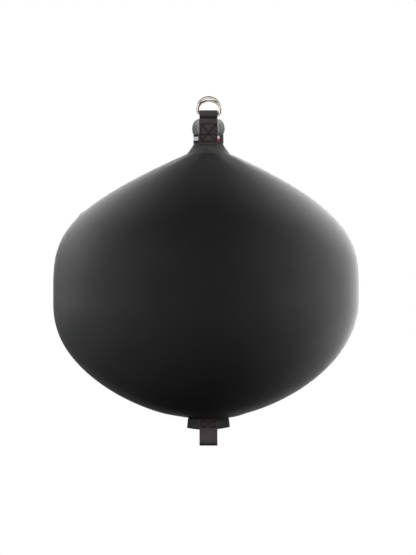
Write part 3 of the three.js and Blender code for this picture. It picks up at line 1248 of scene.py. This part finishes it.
@dataclass
class NeckBand:
    """The tape round the pinched neck, with a thin edging at its top and bottom."""

    neck: GatheredNeck
    thickness: float = 1.2 * MM
    edging_sink: float = 0.45 * MM
    steps: int = 120
    hoop_sides: int = 8
    rounding: Sequence[tuple[float, float]] = ((0.0, 0.35), (0.3 * MM, 0.8), (0.8 * MM, 1.0))
    cloth: WovenTape = WovenTape((0.036, 0.026, 0.027), (0.020, 0.014, 0.016))
    edging: WovenTape = WovenTape((0.016, 0.022, 0.050), (0.008, 0.011, 0.026), 1400.0)
    thread: Thread = Thread((0.110, 0.050, 0.038), (0.050, 0.022, 0.018))

    def spot(self, turn: float, rise: float, lift: float) -> Vector:
        """Places a point on the band.

        Args:
            turn: The angle round the neck, in radians, anticlockwise from the right.
            rise: The height above the band's lower edge.
            lift: The distance out from its inner face.

        Returns:
            The point.
        """
        wide, deep = self.neck.pinch_width / 2 + SEAM_GAP, self.neck.pinch_depth / 2 + SEAM_GAP
        height = self.neck.band_bottom + rise
        return Vector(((wide + lift) * math.cos(turn), (deep + lift) * math.sin(turn), height))

    def _ring(self, rise: float, lift: float) -> list[Vector]:
        """Returns a ring of points on the band."""
        return [self.spot(turn, rise, lift) for turn in round_angles(self.steps)]

    def _hoop(self, name: str, finish: Finish, rise: float, radius: float) -> None:
        """Lays a thin round hoop on the band.

        Args:
            name: The piece's name.
            finish: What it is dressed in.
            rise: Its height above the band's lower edge.
            radius: Its own radius.
        """
        lift = self.thickness - self.edging_sink
        rings = [
            self._ring(rise + radius * math.sin(t), lift + 0.6 * radius * math.cos(t))
            for t in round_angles(self.hoop_sides)
        ]
        draft = Draft()
        draft.loft([list(loop) for loop in zip(*rings)], ring=True)
        draft.object(name, finish, Body.FENDER, "band_tape")

    def build(self) -> None:
        """Builds the tape, rounded at both edges, and its edgings."""
        flat = [(rise, 1.0) for rise in np.linspace(2 * MM, BAND_WIDTH - 2 * MM, 10).tolist()]
        upper = [(BAND_WIDTH - rise, share) for rise, share in reversed(self.rounding)]
        rows = [*self.rounding, *flat, *upper]
        draft = Draft()
        draft.shell(
            [self._ring(rise, self.thickness * share) for rise, share in rows],
            [self._ring(rise, 0.0) for rise, _ in rows],
            closed=True,
        )
        draft.object("band_tape", self.cloth, Body.FENDER, "band_tape", ["neck_band"])
        self._hoop("band_top_edging", self.edging, BAND_WIDTH - 1.6 * MM, 1.6 * MM)
        self._hoop("band_low_edging", self.edging, 3.6 * MM, 1.5 * MM)
        self._hoop("band_low_thread", self.thread, 0.9 * MM, 0.9 * MM)


@dataclass
class ClothTab:
    """A small plain field of cloth sewn on the band, between two angles in degrees and two rises."""

    name: str
    node: str
    band: NeckBand
    span: tuple[float, float]
    rises: tuple[float, float]
    finish: WovenTape
    stands_for_node: bool = True
    thickness: float = 0.6 * MM
    gap: float = 0.15 * MM

    def faces(self, turn: float, rise: float, share: float) -> tuple[Vector, Vector]:
        """Returns the outer and inner point at a place, for a share of the thickness."""
        base = self.band.thickness + self.gap
        return self.band.spot(turn, rise, base + self.thickness * share), self.band.spot(turn, rise, base)

    def build(self) -> None:
        """Builds the tab with its edges turned in."""
        columns = np.linspace(*(math.radians(a) for a in self.span), 17).tolist()
        draft = Draft()
        draft.patch(np.linspace(*self.rises, 13).tolist(), columns, 0.35, self.faces)
        replaced = [self.node] if self.stands_for_node else []
        draft.object(self.name, self.finish, Body.FENDER, "tab_cloth", replaced)


# Straps


class SeamLine(NamedTuple):
    """A straight line of stitches on a strap, from and to a place given along and across it."""

    start: tuple[float, float]
    end: tuple[float, float]


class Crease(NamedTuple):
    """A crease across a strap: its place along the strap, how far it reaches and how strong it is."""

    run: float
    reach: float
    strength: float


def box_and_cross(low: float, high: float, half_width: float, centre: float) -> list[SeamLine]:
    """Lays out a sewn box with a cross in it.

    Args:
        low: The box's lower place along the strap.
        high: Its upper place.
        half_width: Half its width across the strap.
        centre: Its middle across the strap.

    Returns:
        Its six lines of stitches.
    """
    left, right = centre - half_width, centre + half_width
    corners = [(low, left), (low, right), (high, right), (high, left)]
    lines = [SeamLine(a, b) for a, b in zip(corners, corners[1:] + corners[:1])]
    return [*lines, SeamLine(corners[0], corners[2]), SeamLine(corners[1], corners[3])]


@dataclass(kw_only=True)
class Strap(ABC):
    """Webbing laid on a line in the Y-Z plane and as wide as it is woven along X."""

    name: str
    node: str
    box_half_width: float
    box_centre: float = 0.0
    width: float = 50 * MM
    thickness: float = 2.2 * MM
    step: float = 1.3 * MM
    columns: int = 36
    selvedge: float = 1.3 * MM
    end_rounding: float = 1.2 * MM
    dip: float = 1.4 * MM
    dip_reach: float = 2.6 * MM
    seam_pull: float = 0.5
    thread_spacing: float = 1.3 * MM
    sewn: StitchRow = StitchRow(thread=0.85 * MM)

    @abstractmethod
    def inner_line(self) -> np.ndarray:
        """Returns the inner face's line as rows of Y and Z, with the outer face on its left."""

    @abstractmethod
    def box(self) -> tuple[float, float]:
        """Returns the heights between which the box and cross are sewn on each leg."""

    def creases(self) -> list[Crease]:
        """Returns the strap's creases."""
        return []

    def flare(self, run: float) -> float:
        """Returns how much wider each half of the strap is at a place along it."""
        return 0.0

    def lay(self) -> None:
        """Spaces the line evenly, rounds its corners a little and finds the way out of it."""
        raw = self.inner_line()
        runs = run_lengths(raw)
        even = np.linspace(0, runs[-1], int(runs[-1] / self.step) + 1)
        line = np.stack(sample(runs, raw, even), axis=1)
        for _ in range(3):
            line[1:-1] = (line[:-2] + 2 * line[1:-1] + line[2:]) / 4
        along = np.gradient(line, axis=0)
        along /= np.linalg.norm(along, axis=1)[:, None]
        self.line = line
        self.table = np.hstack([line, np.stack([-along[:, 1], along[:, 0]], axis=1)])
        self.runs = run_lengths(line)
        self.length = float(self.runs[-1])
        self.marks = self.creases()
        self.seams = [
            seam for runs in self.on_legs(*self.box())
            for seam in box_and_cross(*runs, self.box_half_width, self.box_centre)
        ]

    def on_legs(self, *heights: float) -> Grid:
        """Finds heights on the front leg and on the rear one.

        Args:
            heights: The heights.

        Returns:
            Their distances along the strap, for each leg.
        """
        places = []
        for side in Side:
            leg = side * self.line[:, 0] > 0
            misses = [np.where(leg, np.abs(self.line[:, 1] - height), np.inf) for height in heights]
            places.append([float(self.runs[int(np.argmin(miss))]) for miss in misses])
        return places

    def spot(self, run: float, x: float, lift: float) -> Spot:
        """Finds a place on the outer face.

        Args:
            run: The distance along the strap.
            x: The distance across it.
            lift: The distance out from its inner face.

        Returns:
            The place and the way out.
        """
        y, z, out_y, out_z = sample(self.runs, self.table, run)
        out = Vector((0.0, out_y, out_z)).normalized()
        return Spot(Vector((x, y, z)) + out * lift, out)

    def pull(self, run: float, x: float) -> float:
        """Finds how hard stitches and creases pull the outer face in; the same value paints shade into the
        webbing there.

        Args:
            run: The distance along the strap.
            x: The distance across it.

        Returns:
            The pull, from 0 to 1.
        """
        pulls = [mark.strength * bump(run - mark.run, mark.reach) for mark in self.marks]
        for (run_a, x_a), (run_b, x_b) in self.seams:
            way = Vector((run_b - run_a, x_b - x_a))
            here = Vector((run - run_a, x - x_a))
            share = min(max(here.dot(way) / way.length_squared, 0.0), 1.0)
            pulls.append(self.seam_pull * bump((here - way * share).length, self.dip_reach))
        return max(pulls)

    def build(self) -> None:
        """Builds the webbing and its stitches."""
        self.lay()
        half, middle = self.width / 2, self.thickness / 2
        across = [
            mix(-half * math.cos(math.pi * i / self.columns), half * (2 * i / self.columns - 1), 0.6)
            for i in range(self.columns + 1)
        ]
        sides = [1 - min(max((half - abs(x)) / self.selvedge, 0.0), 1.0) for x in across]
        thins = [self.thickness * (0.25 + 0.75 * math.sqrt(1 - side**2)) for side in sides]
        outer, inner, weave = [], [], []
        for run in self.runs.tolist():
            rounded = 0.55 + 0.45 * ease(min(run, self.length - run) / self.end_rounding)
            spread = 1 + self.flare(run) / half
            weave.append([Vector((x, run, self.pull(run, x))) for x in across])
            lifts = [rounded * thin / 2 for thin in thins]
            outer.append([
                self.spot(run, flat.x * spread, middle + lift - self.dip * flat.z).point
                for flat, lift in zip(weave[-1], lifts)
            ])
            inner.append([self.spot(run, x * spread, middle - lift).point for x, lift in zip(across, lifts)])
        draft = Draft()
        draft.shell(outer, inner, weave=weave)
        draft.object(self.name, WovenWebbing(length=self.length), Body.FENDER, "webbing", [self.node])
        self._sew()

    def seam_spot(self, seam: SeamLine, aside: float, run: float) -> Spot:
        """Finds a place on a row of stitches.

        Args:
            seam: The line that the row follows.
            aside: How far to one side of it the row lies.
            run: The distance along the row.

        Returns:
            The place and the way out.
        """
        (run_a, x_a), (run_b, x_b) = seam
        length = math.hypot(run_b - run_a, x_b - x_a)
        along = mix(run_a, run_b, run / length) - aside * (x_b - x_a) / length
        across = mix(x_a, x_b, run / length) + aside * (run_b - run_a) / length
        return self.spot(along, across, self.thickness - 0.8 * self.seam_pull * self.dip)

    def _sew(self) -> None:
        """Adds the stitches, in two rows on each line."""
        draft = Draft()
        for seam in self.seams:
            for aside in (-self.thread_spacing, self.thread_spacing):
                self.sewn.sew(draft, partial(self.seam_spot, seam, aside), math.dist(*seam))
        draft.object(f"{self.name}_stitches", Thread(), Body.FENDER, "webbing")


@dataclass(kw_only=True)
class HangingStrap(Strap):
    """The strap over the neck: sewn down front and back, nipped below the rings, open round their bars."""

    neck: GatheredNeck
    band_thickness: float
    name: str = "hanging_strap"
    node: str = "top_strap"
    tail: float = 3 * MM
    waist_gap: float = 5.2 * MM
    waist_rise: float = 1.6 * MM
    waist_to_bars: float = 7.5 * MM
    ring_wire: float = 6 * MM
    ring_gap: float = 0.6 * MM
    ring_slack: float = 0.6 * MM
    ring_tilt: float = 7.5
    box_low: float = 431 * MM
    box_high: float = 480.6 * MM
    box_half_width: float = 21.3 * MM
    box_centre: float = 0.6 * MM
    nip_rise: float = 497.6 * MM
    step_rise: float = 450 * MM
    eye_fullness: float = 0.8 * MM
    eye_flare: float = 1.3 * MM
    flare_drop: float = 9 * MM
    flare_reach: float = 7 * MM

    def inner_line(self) -> np.ndarray:
        """Returns the inner face's line, from the front's lower end over the bars to the rear's."""
        neck = self.neck
        on_band = neck.pinch_depth / 2 + SEAM_GAP + self.band_thickness + SEAM_GAP
        bar_offset = (self.ring_wire + self.ring_gap) / 2
        eye = bar_offset + self.ring_wire / 2 + SEAM_GAP + self.ring_slack
        lift = math.sqrt((eye - self.ring_wire / 2 - SEAM_GAP) ** 2 - bar_offset**2)
        waist, waist_height = self.waist_gap / 2, neck.top + self.waist_rise
        tilt = self.width * math.tan(math.radians(self.ring_tilt))
        eye_height = waist_height + self.waist_to_bars + tilt - lift
        half = [(-on_band, neck.band_bottom - self.tail), (-on_band, neck.band_top + SEAM_GAP)]
        half += neck.seats(self.width / 2 + self.ring_wire)
        for t in np.linspace(0, 1, 9).tolist():
            half.append((-mix(waist, eye, ease(t)), waist_height + self.waist_to_bars * t))
        for turn in np.linspace(math.pi, math.pi / 2, 12).tolist():
            half.append((eye * math.cos(turn), eye_height + (eye + self.eye_fullness) * math.sin(turn)))
        return mirrored(half)

    def box(self) -> tuple[float, float]:
        """Returns the heights between which the box and cross are sewn on each leg."""
        return LEVEL + self.box_low, LEVEL + self.box_high

    def creases(self) -> list[Crease]:
        """Returns the nip below the rings and the step over the band, on each leg."""
        # painted shadow: the nip and the step over the band also darken the webbing, for the shadow under the
        # fold and under the step
        places = self.on_legs(LEVEL + self.nip_rise, LEVEL + self.step_rise)
        return [
            mark
            for nip, step in places
            for mark in (Crease(nip, 4.2 * MM, 0.85), Crease(step, 3.4 * MM, 0.72))
        ]

    def flare(self, run: float) -> float:
        """Returns how much wider each half is where the front leg is pressed flat over the bars."""
        return self.eye_flare * bump(self.length / 2 - run - self.flare_drop, self.flare_reach)


@dataclass(kw_only=True)
class TailLoop(Strap):
    """The loop below the tongue: sewn to both faces, then open in a soft belly."""

    tongue_root: float
    tongue_bottom: float
    name: str = "tail_webbing"
    node: str = "tail_loop"
    dip_reach: float = 1.9 * MM
    on_tongue: float = 8.3 * MM
    belly: float = 11.5 * MM
    loop_length: float = 44.8 * MM
    box_top: float = 4 * MM
    box_bottom: float = 22.5 * MM
    box_half_width: float = 19.5 * MM

    def inner_line(self) -> np.ndarray:
        """Returns the inner face's line, from the rear's upper end round the belly to the front's."""
        bend = self.tongue_bottom - self.loop_length + self.belly + self.thickness
        half = [(self.on_tongue, self.tongue_root - SEAM_GAP), (self.on_tongue, self.tongue_bottom)]
        for t in np.linspace(0, 1, 12).tolist()[1:]:
            half.append((mix(self.on_tongue, self.belly, ease(t)), mix(self.tongue_bottom, bend, t)))
        for turn in np.linspace(0, -math.pi / 2, 12).tolist()[1:]:
            half.append((self.belly * math.cos(turn), bend + self.belly * math.sin(turn)))
        return mirrored(half)

    def box(self) -> tuple[float, float]:
        """Returns the heights between which the box and cross are sewn on each leg."""
        top = self.tongue_root - SEAM_GAP
        return top - self.box_bottom, top - self.box_top


# The tongue


class HemCut(NamedTuple):
    """A section of the tongue's rounded lower edge."""

    lift: float
    narrowing: float
    half_depth: float


@dataclass
class TailTongue:
    """The cover's flat sewn end below the ball, faced with a second layer on its front."""

    rim_radius: float = 56.8 * MM
    hip_angle: float = 9
    root_drop: float = 4.1 * MM
    corner_drop: float = 27.6 * MM
    middle_drop: float = 34.2 * MM
    half_width: float = 59.8 * MM
    root_half_width: float = 56.7 * MM
    slant: float = 1.3 * MM
    half_depth: float = 8 * MM
    squareness: float = 0.7
    facing: float = 1.4 * MM
    facing_top: float = 4.6 * MM
    facing_steps: int = 24
    facing_columns: int = 60
    stitch_share: float = 0.9
    stitch_inset: float = 3 * MM
    stitch_gap: float = 26 * MM
    wall: float = 1.5 * MM
    round_steps: int = 128
    # painted light: the facing is a lighter copy of the cover cloth, for the light that its upright front
    # catches
    lit_facing_fabric: CoverFabric = CoverFabric(dark=(0.0575, 0.061, 0.0575), light=(0.0635, 0.067, 0.0635))
    thread: Thread = Thread((0.020, 0.021, 0.021), (0.010, 0.010, 0.010))

    def __post_init__(self) -> None:
        """Works out the heights that the loop is sewn to."""
        self.rim = LEVEL - TAIL_RIM_DROP
        self.root = self.rim - self.root_drop
        self.bottom = self.rim - self.middle_drop

    def edge(self, x: float) -> float:
        """Returns the height of the bowed and slanted lower edge at a place along X."""
        bow = mix(self.middle_drop, self.corner_drop, min(abs(x) / self.half_width, 1.0) ** 2)
        return self.rim - bow + self.slant * x / self.half_width

    def section(
        self, height: Callable[[float], float], half_width: float, half_depth: float, cut: float, power: float
    ) -> list[Vector]:
        """Makes one section of the tongue.

        Args:
            height: Gives its height at each place along X.
            half_width: Its half width.
            half_depth: Its half depth.
            cut: How far its front is set back under the facing.
            power: 1 for an ellipse, and less for a squarer form.

        Returns:
            The section's points.
        """
        points = []
        for turn in round_angles(self.round_steps):
            x, flat = half_width * math.cos(turn), squared_sine(turn, power)
            depth = half_depth - (cut if flat < 0 else 0.0)
            points.append(Vector((x, depth * flat, height(x))))
        return points

    def blade(self, lift: float, half_width: float, half_depth: float, share: float = 0.0) -> list[Vector]:
        """Makes a section of the flat part.

        Args:
            lift: Its height above the lower edge.
            half_width: Its half width.
            half_depth: Its half depth.
            share: How far it has straightened towards the level root, from 0 to 1.

        Returns:
            The section's points.
        """
        def height(x: float) -> float:
            """Returns the height at one place along X."""
            return mix(self.edge(x) + lift, self.root - 1.5 * MM, share)

        return self.section(height, half_width, half_depth, self.facing, self.squareness)

    def floor(self, share: float, inset: float = 0.0) -> list[Vector]:
        """Makes a section between the ball's rim and the tongue's root.

        Args:
            share: How far down it is, from 0 to 1.
            inset: How far it lies inside the outer face.

        Returns:
            The section's points.
        """
        below_rim = self.rim + inset * math.cos(math.radians(self.hip_angle))
        height = mix(below_rim, self.root + inset, share)
        half_width = mix(self.rim_radius, self.root_half_width, share) - inset
        flat = 1 - (1 - share) ** 1.6
        deep = mix(self.rim_radius - inset, self.half_depth - self.facing - inset / 2, flat)
        return self.section(lambda x: height, half_width, deep, 0.0, mix(1.0, self.squareness, flat))

    def build(self) -> None:
        """Builds the tongue, its facing and the facing's stitches."""
        hem = [
            HemCut(*(size * MM for size in cut))
            for cut in ((0.6, 2.4, 3), (1, 1.4, 4.5), (2.6, 1, 7), (5, 1.2, 8))
        ]
        loops = [self.blade(cut.lift, self.half_width - cut.narrowing, cut.half_depth) for cut in hem]
        for share in (0.3, 0.6, 0.85, 1.0):
            width = mix(self.half_width - hem[-1].narrowing, self.root_half_width, share)
            loops.append(self.blade(hem[-1].lift, width, self.half_depth, share))
        loops += [self.floor(i / 10) for i in range(10, -1, -1)]
        loops += [self.floor(0.8 * i / 6, self.wall) for i in range(7)]
        draft = Draft()
        draft.loft(loops)
        draft.object("tongue_pouch", CoverFabric(), Body.FENDER, "cover_fabric", ["tail_tongue"])
        self._facing()

    def face(self, x: float, share: float, lift: float) -> Vector:
        """Places a point of the facing.

        Args:
            x: Its place along X.
            share: How far up the facing it is, from 0 to 1.
            lift: How far it stands off the tongue.

        Returns:
            The point.
        """
        across = abs(x) / (self.half_width + 0.6 * MM)
        near_side = max(0.0, (across - 0.86) / 0.14)
        near_hem = mix(0.55, 1.0, ease(share / 0.16))
        depth = (self.half_depth - self.facing) * (1 - 0.42 * near_side**2) * near_hem
        height = mix(self.edge(x) - 0.2 * MM, self.rim - self.facing_top, share)
        narrowed = x * mix(1.0, (self.root_half_width + 0.8 * MM) / self.half_width, share)
        return Vector((narrowed, -depth - lift, height))

    def faces(self, x: float, share: float, thin: float) -> tuple[Vector, Vector]:
        """Returns the facing's outer and inner point at a place, for a share of its thickness."""
        return self.face(x, share, self.facing * thin), self.face(x, share, 0.1 * MM)

    def seam_spot(self, start: float, run: float) -> Spot:
        """Returns the place and the way out at a distance along a row of stitches that starts at some X."""
        return Spot(self.face(start + run, self.stitch_share, self.facing), Vector((0.0, -1.0, 0.0)))

    def _facing(self) -> None:
        """Builds the facing and sews its upper edge."""
        rows = [i / self.facing_steps for i in range(self.facing_steps + 1)]
        shares = (i / self.facing_columns for i in range(self.facing_columns + 1))
        columns = [mix(-self.half_width, self.half_width, share) for share in shares]
        draft = Draft()
        draft.patch(rows, columns, 0.4, self.faces)
        draft.object("tongue_facing", self.lit_facing_fabric, Body.FENDER, "cover_fabric")
        stitches = Draft()
        end = self.half_width - self.stitch_inset
        for left in (-end, self.stitch_gap):
            StitchRow(thread=0.35 * MM).sew(stitches, partial(self.seam_spot, left), end - self.stitch_gap)
        stitches.object("tongue_stitches", self.thread, Body.FENDER, "cover_fabric")


# The rings


@dataclass
class DRing:
    """A D-ring of round wire: its bar lies along X through the joint and its bow rises from it."""

    name: str
    node: str
    body: Body
    joint: str
    tilt: float
    lean: float
    wire: float = 6 * MM
    outer_width: float = 68 * MM
    outer_height: float = 53 * MM
    corner: float = 5 * MM
    sides: int = 24

    def arc(
        self, x: float, z: float, radius: float, half_turns: tuple[float, float], steps: int
    ) -> list[Vector]:
        """Returns an arc's points round a centre at X and Z."""
        turns = (math.pi * mix(*half_turns, i / steps) for i in range(steps + 1))
        return [Vector((x + radius * math.cos(t), 0.0, z + radius * math.sin(t))) for t in turns]

    def path(self) -> list[Vector]:
        """Returns the wire's centre line, round the ring once."""
        bow = (self.outer_width - self.wire) / 2
        rise = self.outer_height - self.wire - bow
        straight = bow - self.corner
        return [
            *self.arc(straight, self.corner, self.corner, (1.5, 2), 10),
            *self.arc(0.0, rise, bow, (0, 1), 72),
            *self.arc(-straight, self.corner, self.corner, (1, 1.5), 10),
            *(Vector((mix(-straight, straight, i / 12), 0.0, 0.0)) for i in range(1, 12)),
        ]

    def build(self) -> None:
        """Builds the ring in its place."""
        joint = next(j for j in frame["joints"] if j["name"] == self.joint)
        tilted, leaning = math.radians(self.tilt), -math.radians(self.lean)
        turn = Matrix.Rotation(tilted, 4, "Y") @ Matrix.Rotation(leaning, 4, "X")
        place = Matrix.Translation(Vector(joint["pos_m"])) @ turn
        path = self.path()
        loops = []
        for i, here in enumerate(path):
            along = (path[(i + 1) % len(path)] - path[i - 1]).normalized()
            aside = Vector((along.z, 0.0, -along.x))
            ways = (aside * math.cos(a) + Vector((0, math.sin(a), 0)) for a in round_angles(self.sides))
            loops.append([place @ (here + self.wire / 2 * way) for way in ways])
        draft = Draft()
        draft.loft(loops, ring=True)
        draft.object(self.name, PolishedSteel(), self.body, "ring_steel", [self.node])


# The studio


@dataclass(frozen=True)
class SoftBox:
    """A square soft light aimed at a target, placed by the angles that it is seen at from there."""

    name: str
    azimuth: float
    elevation: float
    watts: float
    size: float = 1.8
    distance: float = 3.4
    spread: float = 180
    tint: Colour = (1.0, 1.0, 1.0)

    def build(self, target: Vector) -> bpy.types.Object:
        """Hangs the light.

        Args:
            target: What it is aimed at.

        Returns:
            The lamp.
        """
        light = bpy.data.lights.new(self.name, "AREA")
        light.spread = math.radians(self.spread)
        light.energy, light.size, light.color = self.watts, self.size, self.tint
        lamp = bpy.data.objects.new(self.name, light)
        turn, up = math.radians(self.azimuth), math.radians(self.elevation)
        way = Vector((math.sin(turn) * math.cos(up), -math.cos(turn) * math.cos(up), math.sin(up)))
        lamp.location = target + way * self.distance
        lamp.rotation_mode = "QUATERNION"
        lamp.rotation_quaternion = way.to_track_quat("Z", "Y")
        lamp.visible_camera = False
        bpy.context.scene.collection.objects.link(lamp)
        return lamp


class LightState(str, Enum):
    """What a group of pieces is to the lights that name it."""

    INCLUDE = "INCLUDE"
    EXCLUDE = "EXCLUDE"


STEEL = ("front_ring_wire", "rear_ring_wire")
GATHER = ("neck_gather",)
NECK = (
    *GATHER, "band_tape", "band_top_edging", "band_low_edging", "band_low_thread",
    "left_field", "right_pale_field", "right_red_field", "hanging_strap", "hanging_strap_stitches",
)
TAIL = ("tail_webbing", "tail_webbing_stitches", "tongue_pouch", "tongue_facing", "tongue_stitches")


@dataclass(frozen=True)
class LightSet:
    """Lights with one aim, kept for some pieces or kept off them."""

    height: float
    state: LightState
    pieces: Sequence[str]
    lights: Sequence[SoftBox]
    blockers: Sequence[str] = ()

    def _group(self, pieces: Sequence[str]) -> bpy.types.Collection:
        """Groups pieces for the lights.

        Args:
            pieces: The pieces' names.

        Returns:
            The group.
        """
        group = bpy.data.collections.new(f"light_{self.state.value.lower()}")
        for name in pieces:
            group.objects.link(bpy.data.objects[name])
        for held in group.collection_objects:
            held.light_linking.link_state = self.state.value
        return group

    def build(self) -> None:
        """Hangs the lights and links them to their pieces."""
        receivers = self._group(self.pieces)
        for light in self.lights:
            linked = light.build(Vector((0.0, 0.0, self.height))).light_linking
            linked.receiver_collection = receivers
            if self.blockers:
                linked.blocker_collection = self._group(self.blockers)


def light_sets() -> list[LightSet]:
    """Plans the lights.

    Returns:
        The lights on the ball, those behind it, and those kept for the steel, the neck and the tail.
    """
    low, high = cad_bounds
    middle = (low.z + high.z) / 2
    return [
        LightSet(middle, LightState.EXCLUDE, STEEL, (
            SoftBox("front_light", -30, 15, 9.6),
            SoftBox("left_front_light", -60, 0, 39),
            SoftBox("left_side_light", -110, 15, 88),
            SoftBox("left_high_rim_light", -140, 30, 72),
            SoftBox("right_front_light", 80, 0, 73),
            SoftBox("right_side_light", 95, 15, 47),
            SoftBox("right_low_rim_light", 125, -15, 67),
            SoftBox("right_rim_light", 125, 15, 61),
            SoftBox("right_high_rim_light", 140, 30, 112),
        )),
        LightSet(middle, LightState.EXCLUDE, (*STEEL, *NECK, *TAIL), (
            SoftBox("left_back_light", -170, 15, 85),
            SoftBox("left_low_back_light", -170, -15, 12),
            SoftBox("right_far_rim_light", 155, 0, 130),
            SoftBox("right_back_light", 170, 15, 104),
            SoftBox("right_low_back_light", 170, -15, 25),
        )),
        LightSet(high.z - 30 * MM, LightState.INCLUDE, STEEL, (
            SoftBox("steel_front_light", 0, -22, 78, size=3.6, tint=(1.0, 0.92, 0.85)),
            SoftBox("steel_low_light", 0, -72, 42, size=4.0, tint=(1.0, 0.89, 0.81)),
            SoftBox("steel_left_light", -55, 0, 52, size=3.0, tint=(1.0, 0.86, 0.76)),
            SoftBox("steel_right_light", 60, 0, 26, size=2.6, tint=(1.0, 0.86, 0.76)),
            SoftBox("steel_back_light", 180, 10, 7, size=3.0, tint=(0.86, 0.93, 1.0)),
        )),
        LightSet(high.z - 90 * MM, LightState.INCLUDE, NECK, (
            SoftBox("neck_light", 9, 45, 0.175, size=0.3, distance=1.1, spread=22),
        )),
        LightSet(high.z - 62 * MM, LightState.INCLUDE, GATHER, (
            SoftBox("gather_light", 19, 25, 0.044, size=0.06, distance=1.1, spread=6),
        )),
        LightSet(low.z + 4 * MM, LightState.INCLUDE, TAIL, (
            SoftBox("tail_light", 0, 35, 0.0147, size=0.05, distance=1.1, spread=8),
        ), blockers=TAIL[:1]),
    ]


@dataclass
class Studio:
    """The white studio: a pale floor well below the fender, soft lights round it and the camera."""

    camera_distance: float = 6.0
    camera_height: float = -0.4988
    camera_aside: float = -0.00125
    lens_mm: float = 139.7
    sensor_mm: float = 36.0
    floor_height: float = -5.0
    floor_size: float = 16.0
    fill: float = 0.014

    def build(self) -> None:
        """Builds the studio round the fender."""
        bpy.context.scene.view_settings.view_transform = "Standard"
        self._world()
        self._floor()
        for lights in light_sets():
            lights.build()
        self._camera()
        log.info("studio: %d soft lights", len(bpy.data.lights))

    def _world(self) -> None:
        """Makes the backdrop white to the camera and a dim fill to everything else."""
        world = bpy.data.worlds.new("white_studio")
        bpy.context.scene.world = world
        world.use_nodes = True
        tree = world.node_tree
        white, dim = tree.nodes["Background"], tree.nodes.new("ShaderNodeBackground")
        for background, strength in ((white, 1.0), (dim, self.fill)):
            background.inputs["Color"].default_value = (1.0, 1.0, 1.0, 1.0)
            background.inputs["Strength"].default_value = strength
        ray = tree.nodes.new("ShaderNodeLightPath")
        either = tree.nodes.new("ShaderNodeMixShader")
        sources = (ray.outputs["Is Camera Ray"], dim.outputs[0], white.outputs[0])
        for socket, source in zip(either.inputs, sources):
            tree.links.new(source, socket)
        tree.links.new(either.outputs[0], tree.nodes["World Output"].inputs["Surface"])

    def _floor(self) -> None:
        """Lays the pale floor."""
        half = self.floor_size / 2
        corners = ((-half, -half), (half, -half), (half, half), (-half, half))
        mesh = bpy.data.meshes.new("floor")
        mesh.from_pydata([Vector((*corner, self.floor_height)) for corner in corners], [], [(0, 1, 2, 3)])
        mesh.materials.append(PaleFloor().material())
        floor = bpy.data.objects.new("floor", mesh)
        bpy.context.scene.collection.objects.link(floor)
        floor.visible_diffuse = floor.visible_glossy = False

    def _camera(self) -> None:
        """Sets up the camera, level and in front of the fender."""
        camera = bpy.data.cameras.new("camera")
        camera.lens, camera.sensor_width = self.lens_mm, self.sensor_mm
        seen_from = bpy.data.objects.new("camera", camera)
        seen_from.location = (self.camera_aside, -self.camera_distance, self.camera_height)
        seen_from.rotation_euler = (math.pi / 2, 0.0, 0.0)
        bpy.context.scene.collection.objects.link(seen_from)
        bpy.context.scene.camera = seen_from


def build_tabs(band: NeckBand) -> None:
    """Builds the plain fields of cloth on the band, one on the left and two on the right.

    Args:
        band: The band that they are sewn on.
    """
    pale = WovenTape((0.74, 0.73, 0.80), (0.56, 0.55, 0.62), 1500.0)
    white = WovenTape((0.95, 0.95, 0.95), pale.colour, 1500.0)
    red = WovenTape((0.75, 0.02, 0.03), (0.45, 0.01, 0.02), 1500.0)
    left, right = (182, 228), (306, 316.5)
    for tab in (
        ClothTab("left_field", "left_tab", band, left, (8.4 * MM, 18.6 * MM), pale),
        ClothTab("right_pale_field", "right_tab", band, right, (13.2 * MM, 21.4 * MM), white),
        ClothTab(
            "right_red_field", "right_tab", band, right, (5.8 * MM, 12.8 * MM), red, stands_for_node=False
        ),
    ):
        tab.build()


def main() -> None:
    """Builds the fender's pieces, then the studio."""
    logging.basicConfig(level=logging.INFO, format="%(name)s: %(message)s")
    BallCover().build()
    InnerBladder().build()
    neck, valve = GatheredNeck(), Valve()
    neck.build(valve)
    valve.build()
    band = NeckBand(neck)
    band.build()
    build_tabs(band)
    HangingStrap(neck=neck, band_thickness=band.thickness).build()
    tongue = TailTongue()
    tongue.build()
    TailLoop(tongue_root=tongue.root, tongue_bottom=tongue.bottom).build()
    DRing("front_ring_wire", "front_ring", Body.FRONT_RING, "front_ring_swing", tilt=7.5, lean=0.0).build()
    DRing("rear_ring_wire", "rear_ring", Body.REAR_RING, "rear_ring_swing", tilt=1.5, lean=37.0).build()
    Studio().build()


if __name__ == "__main__":
    main()
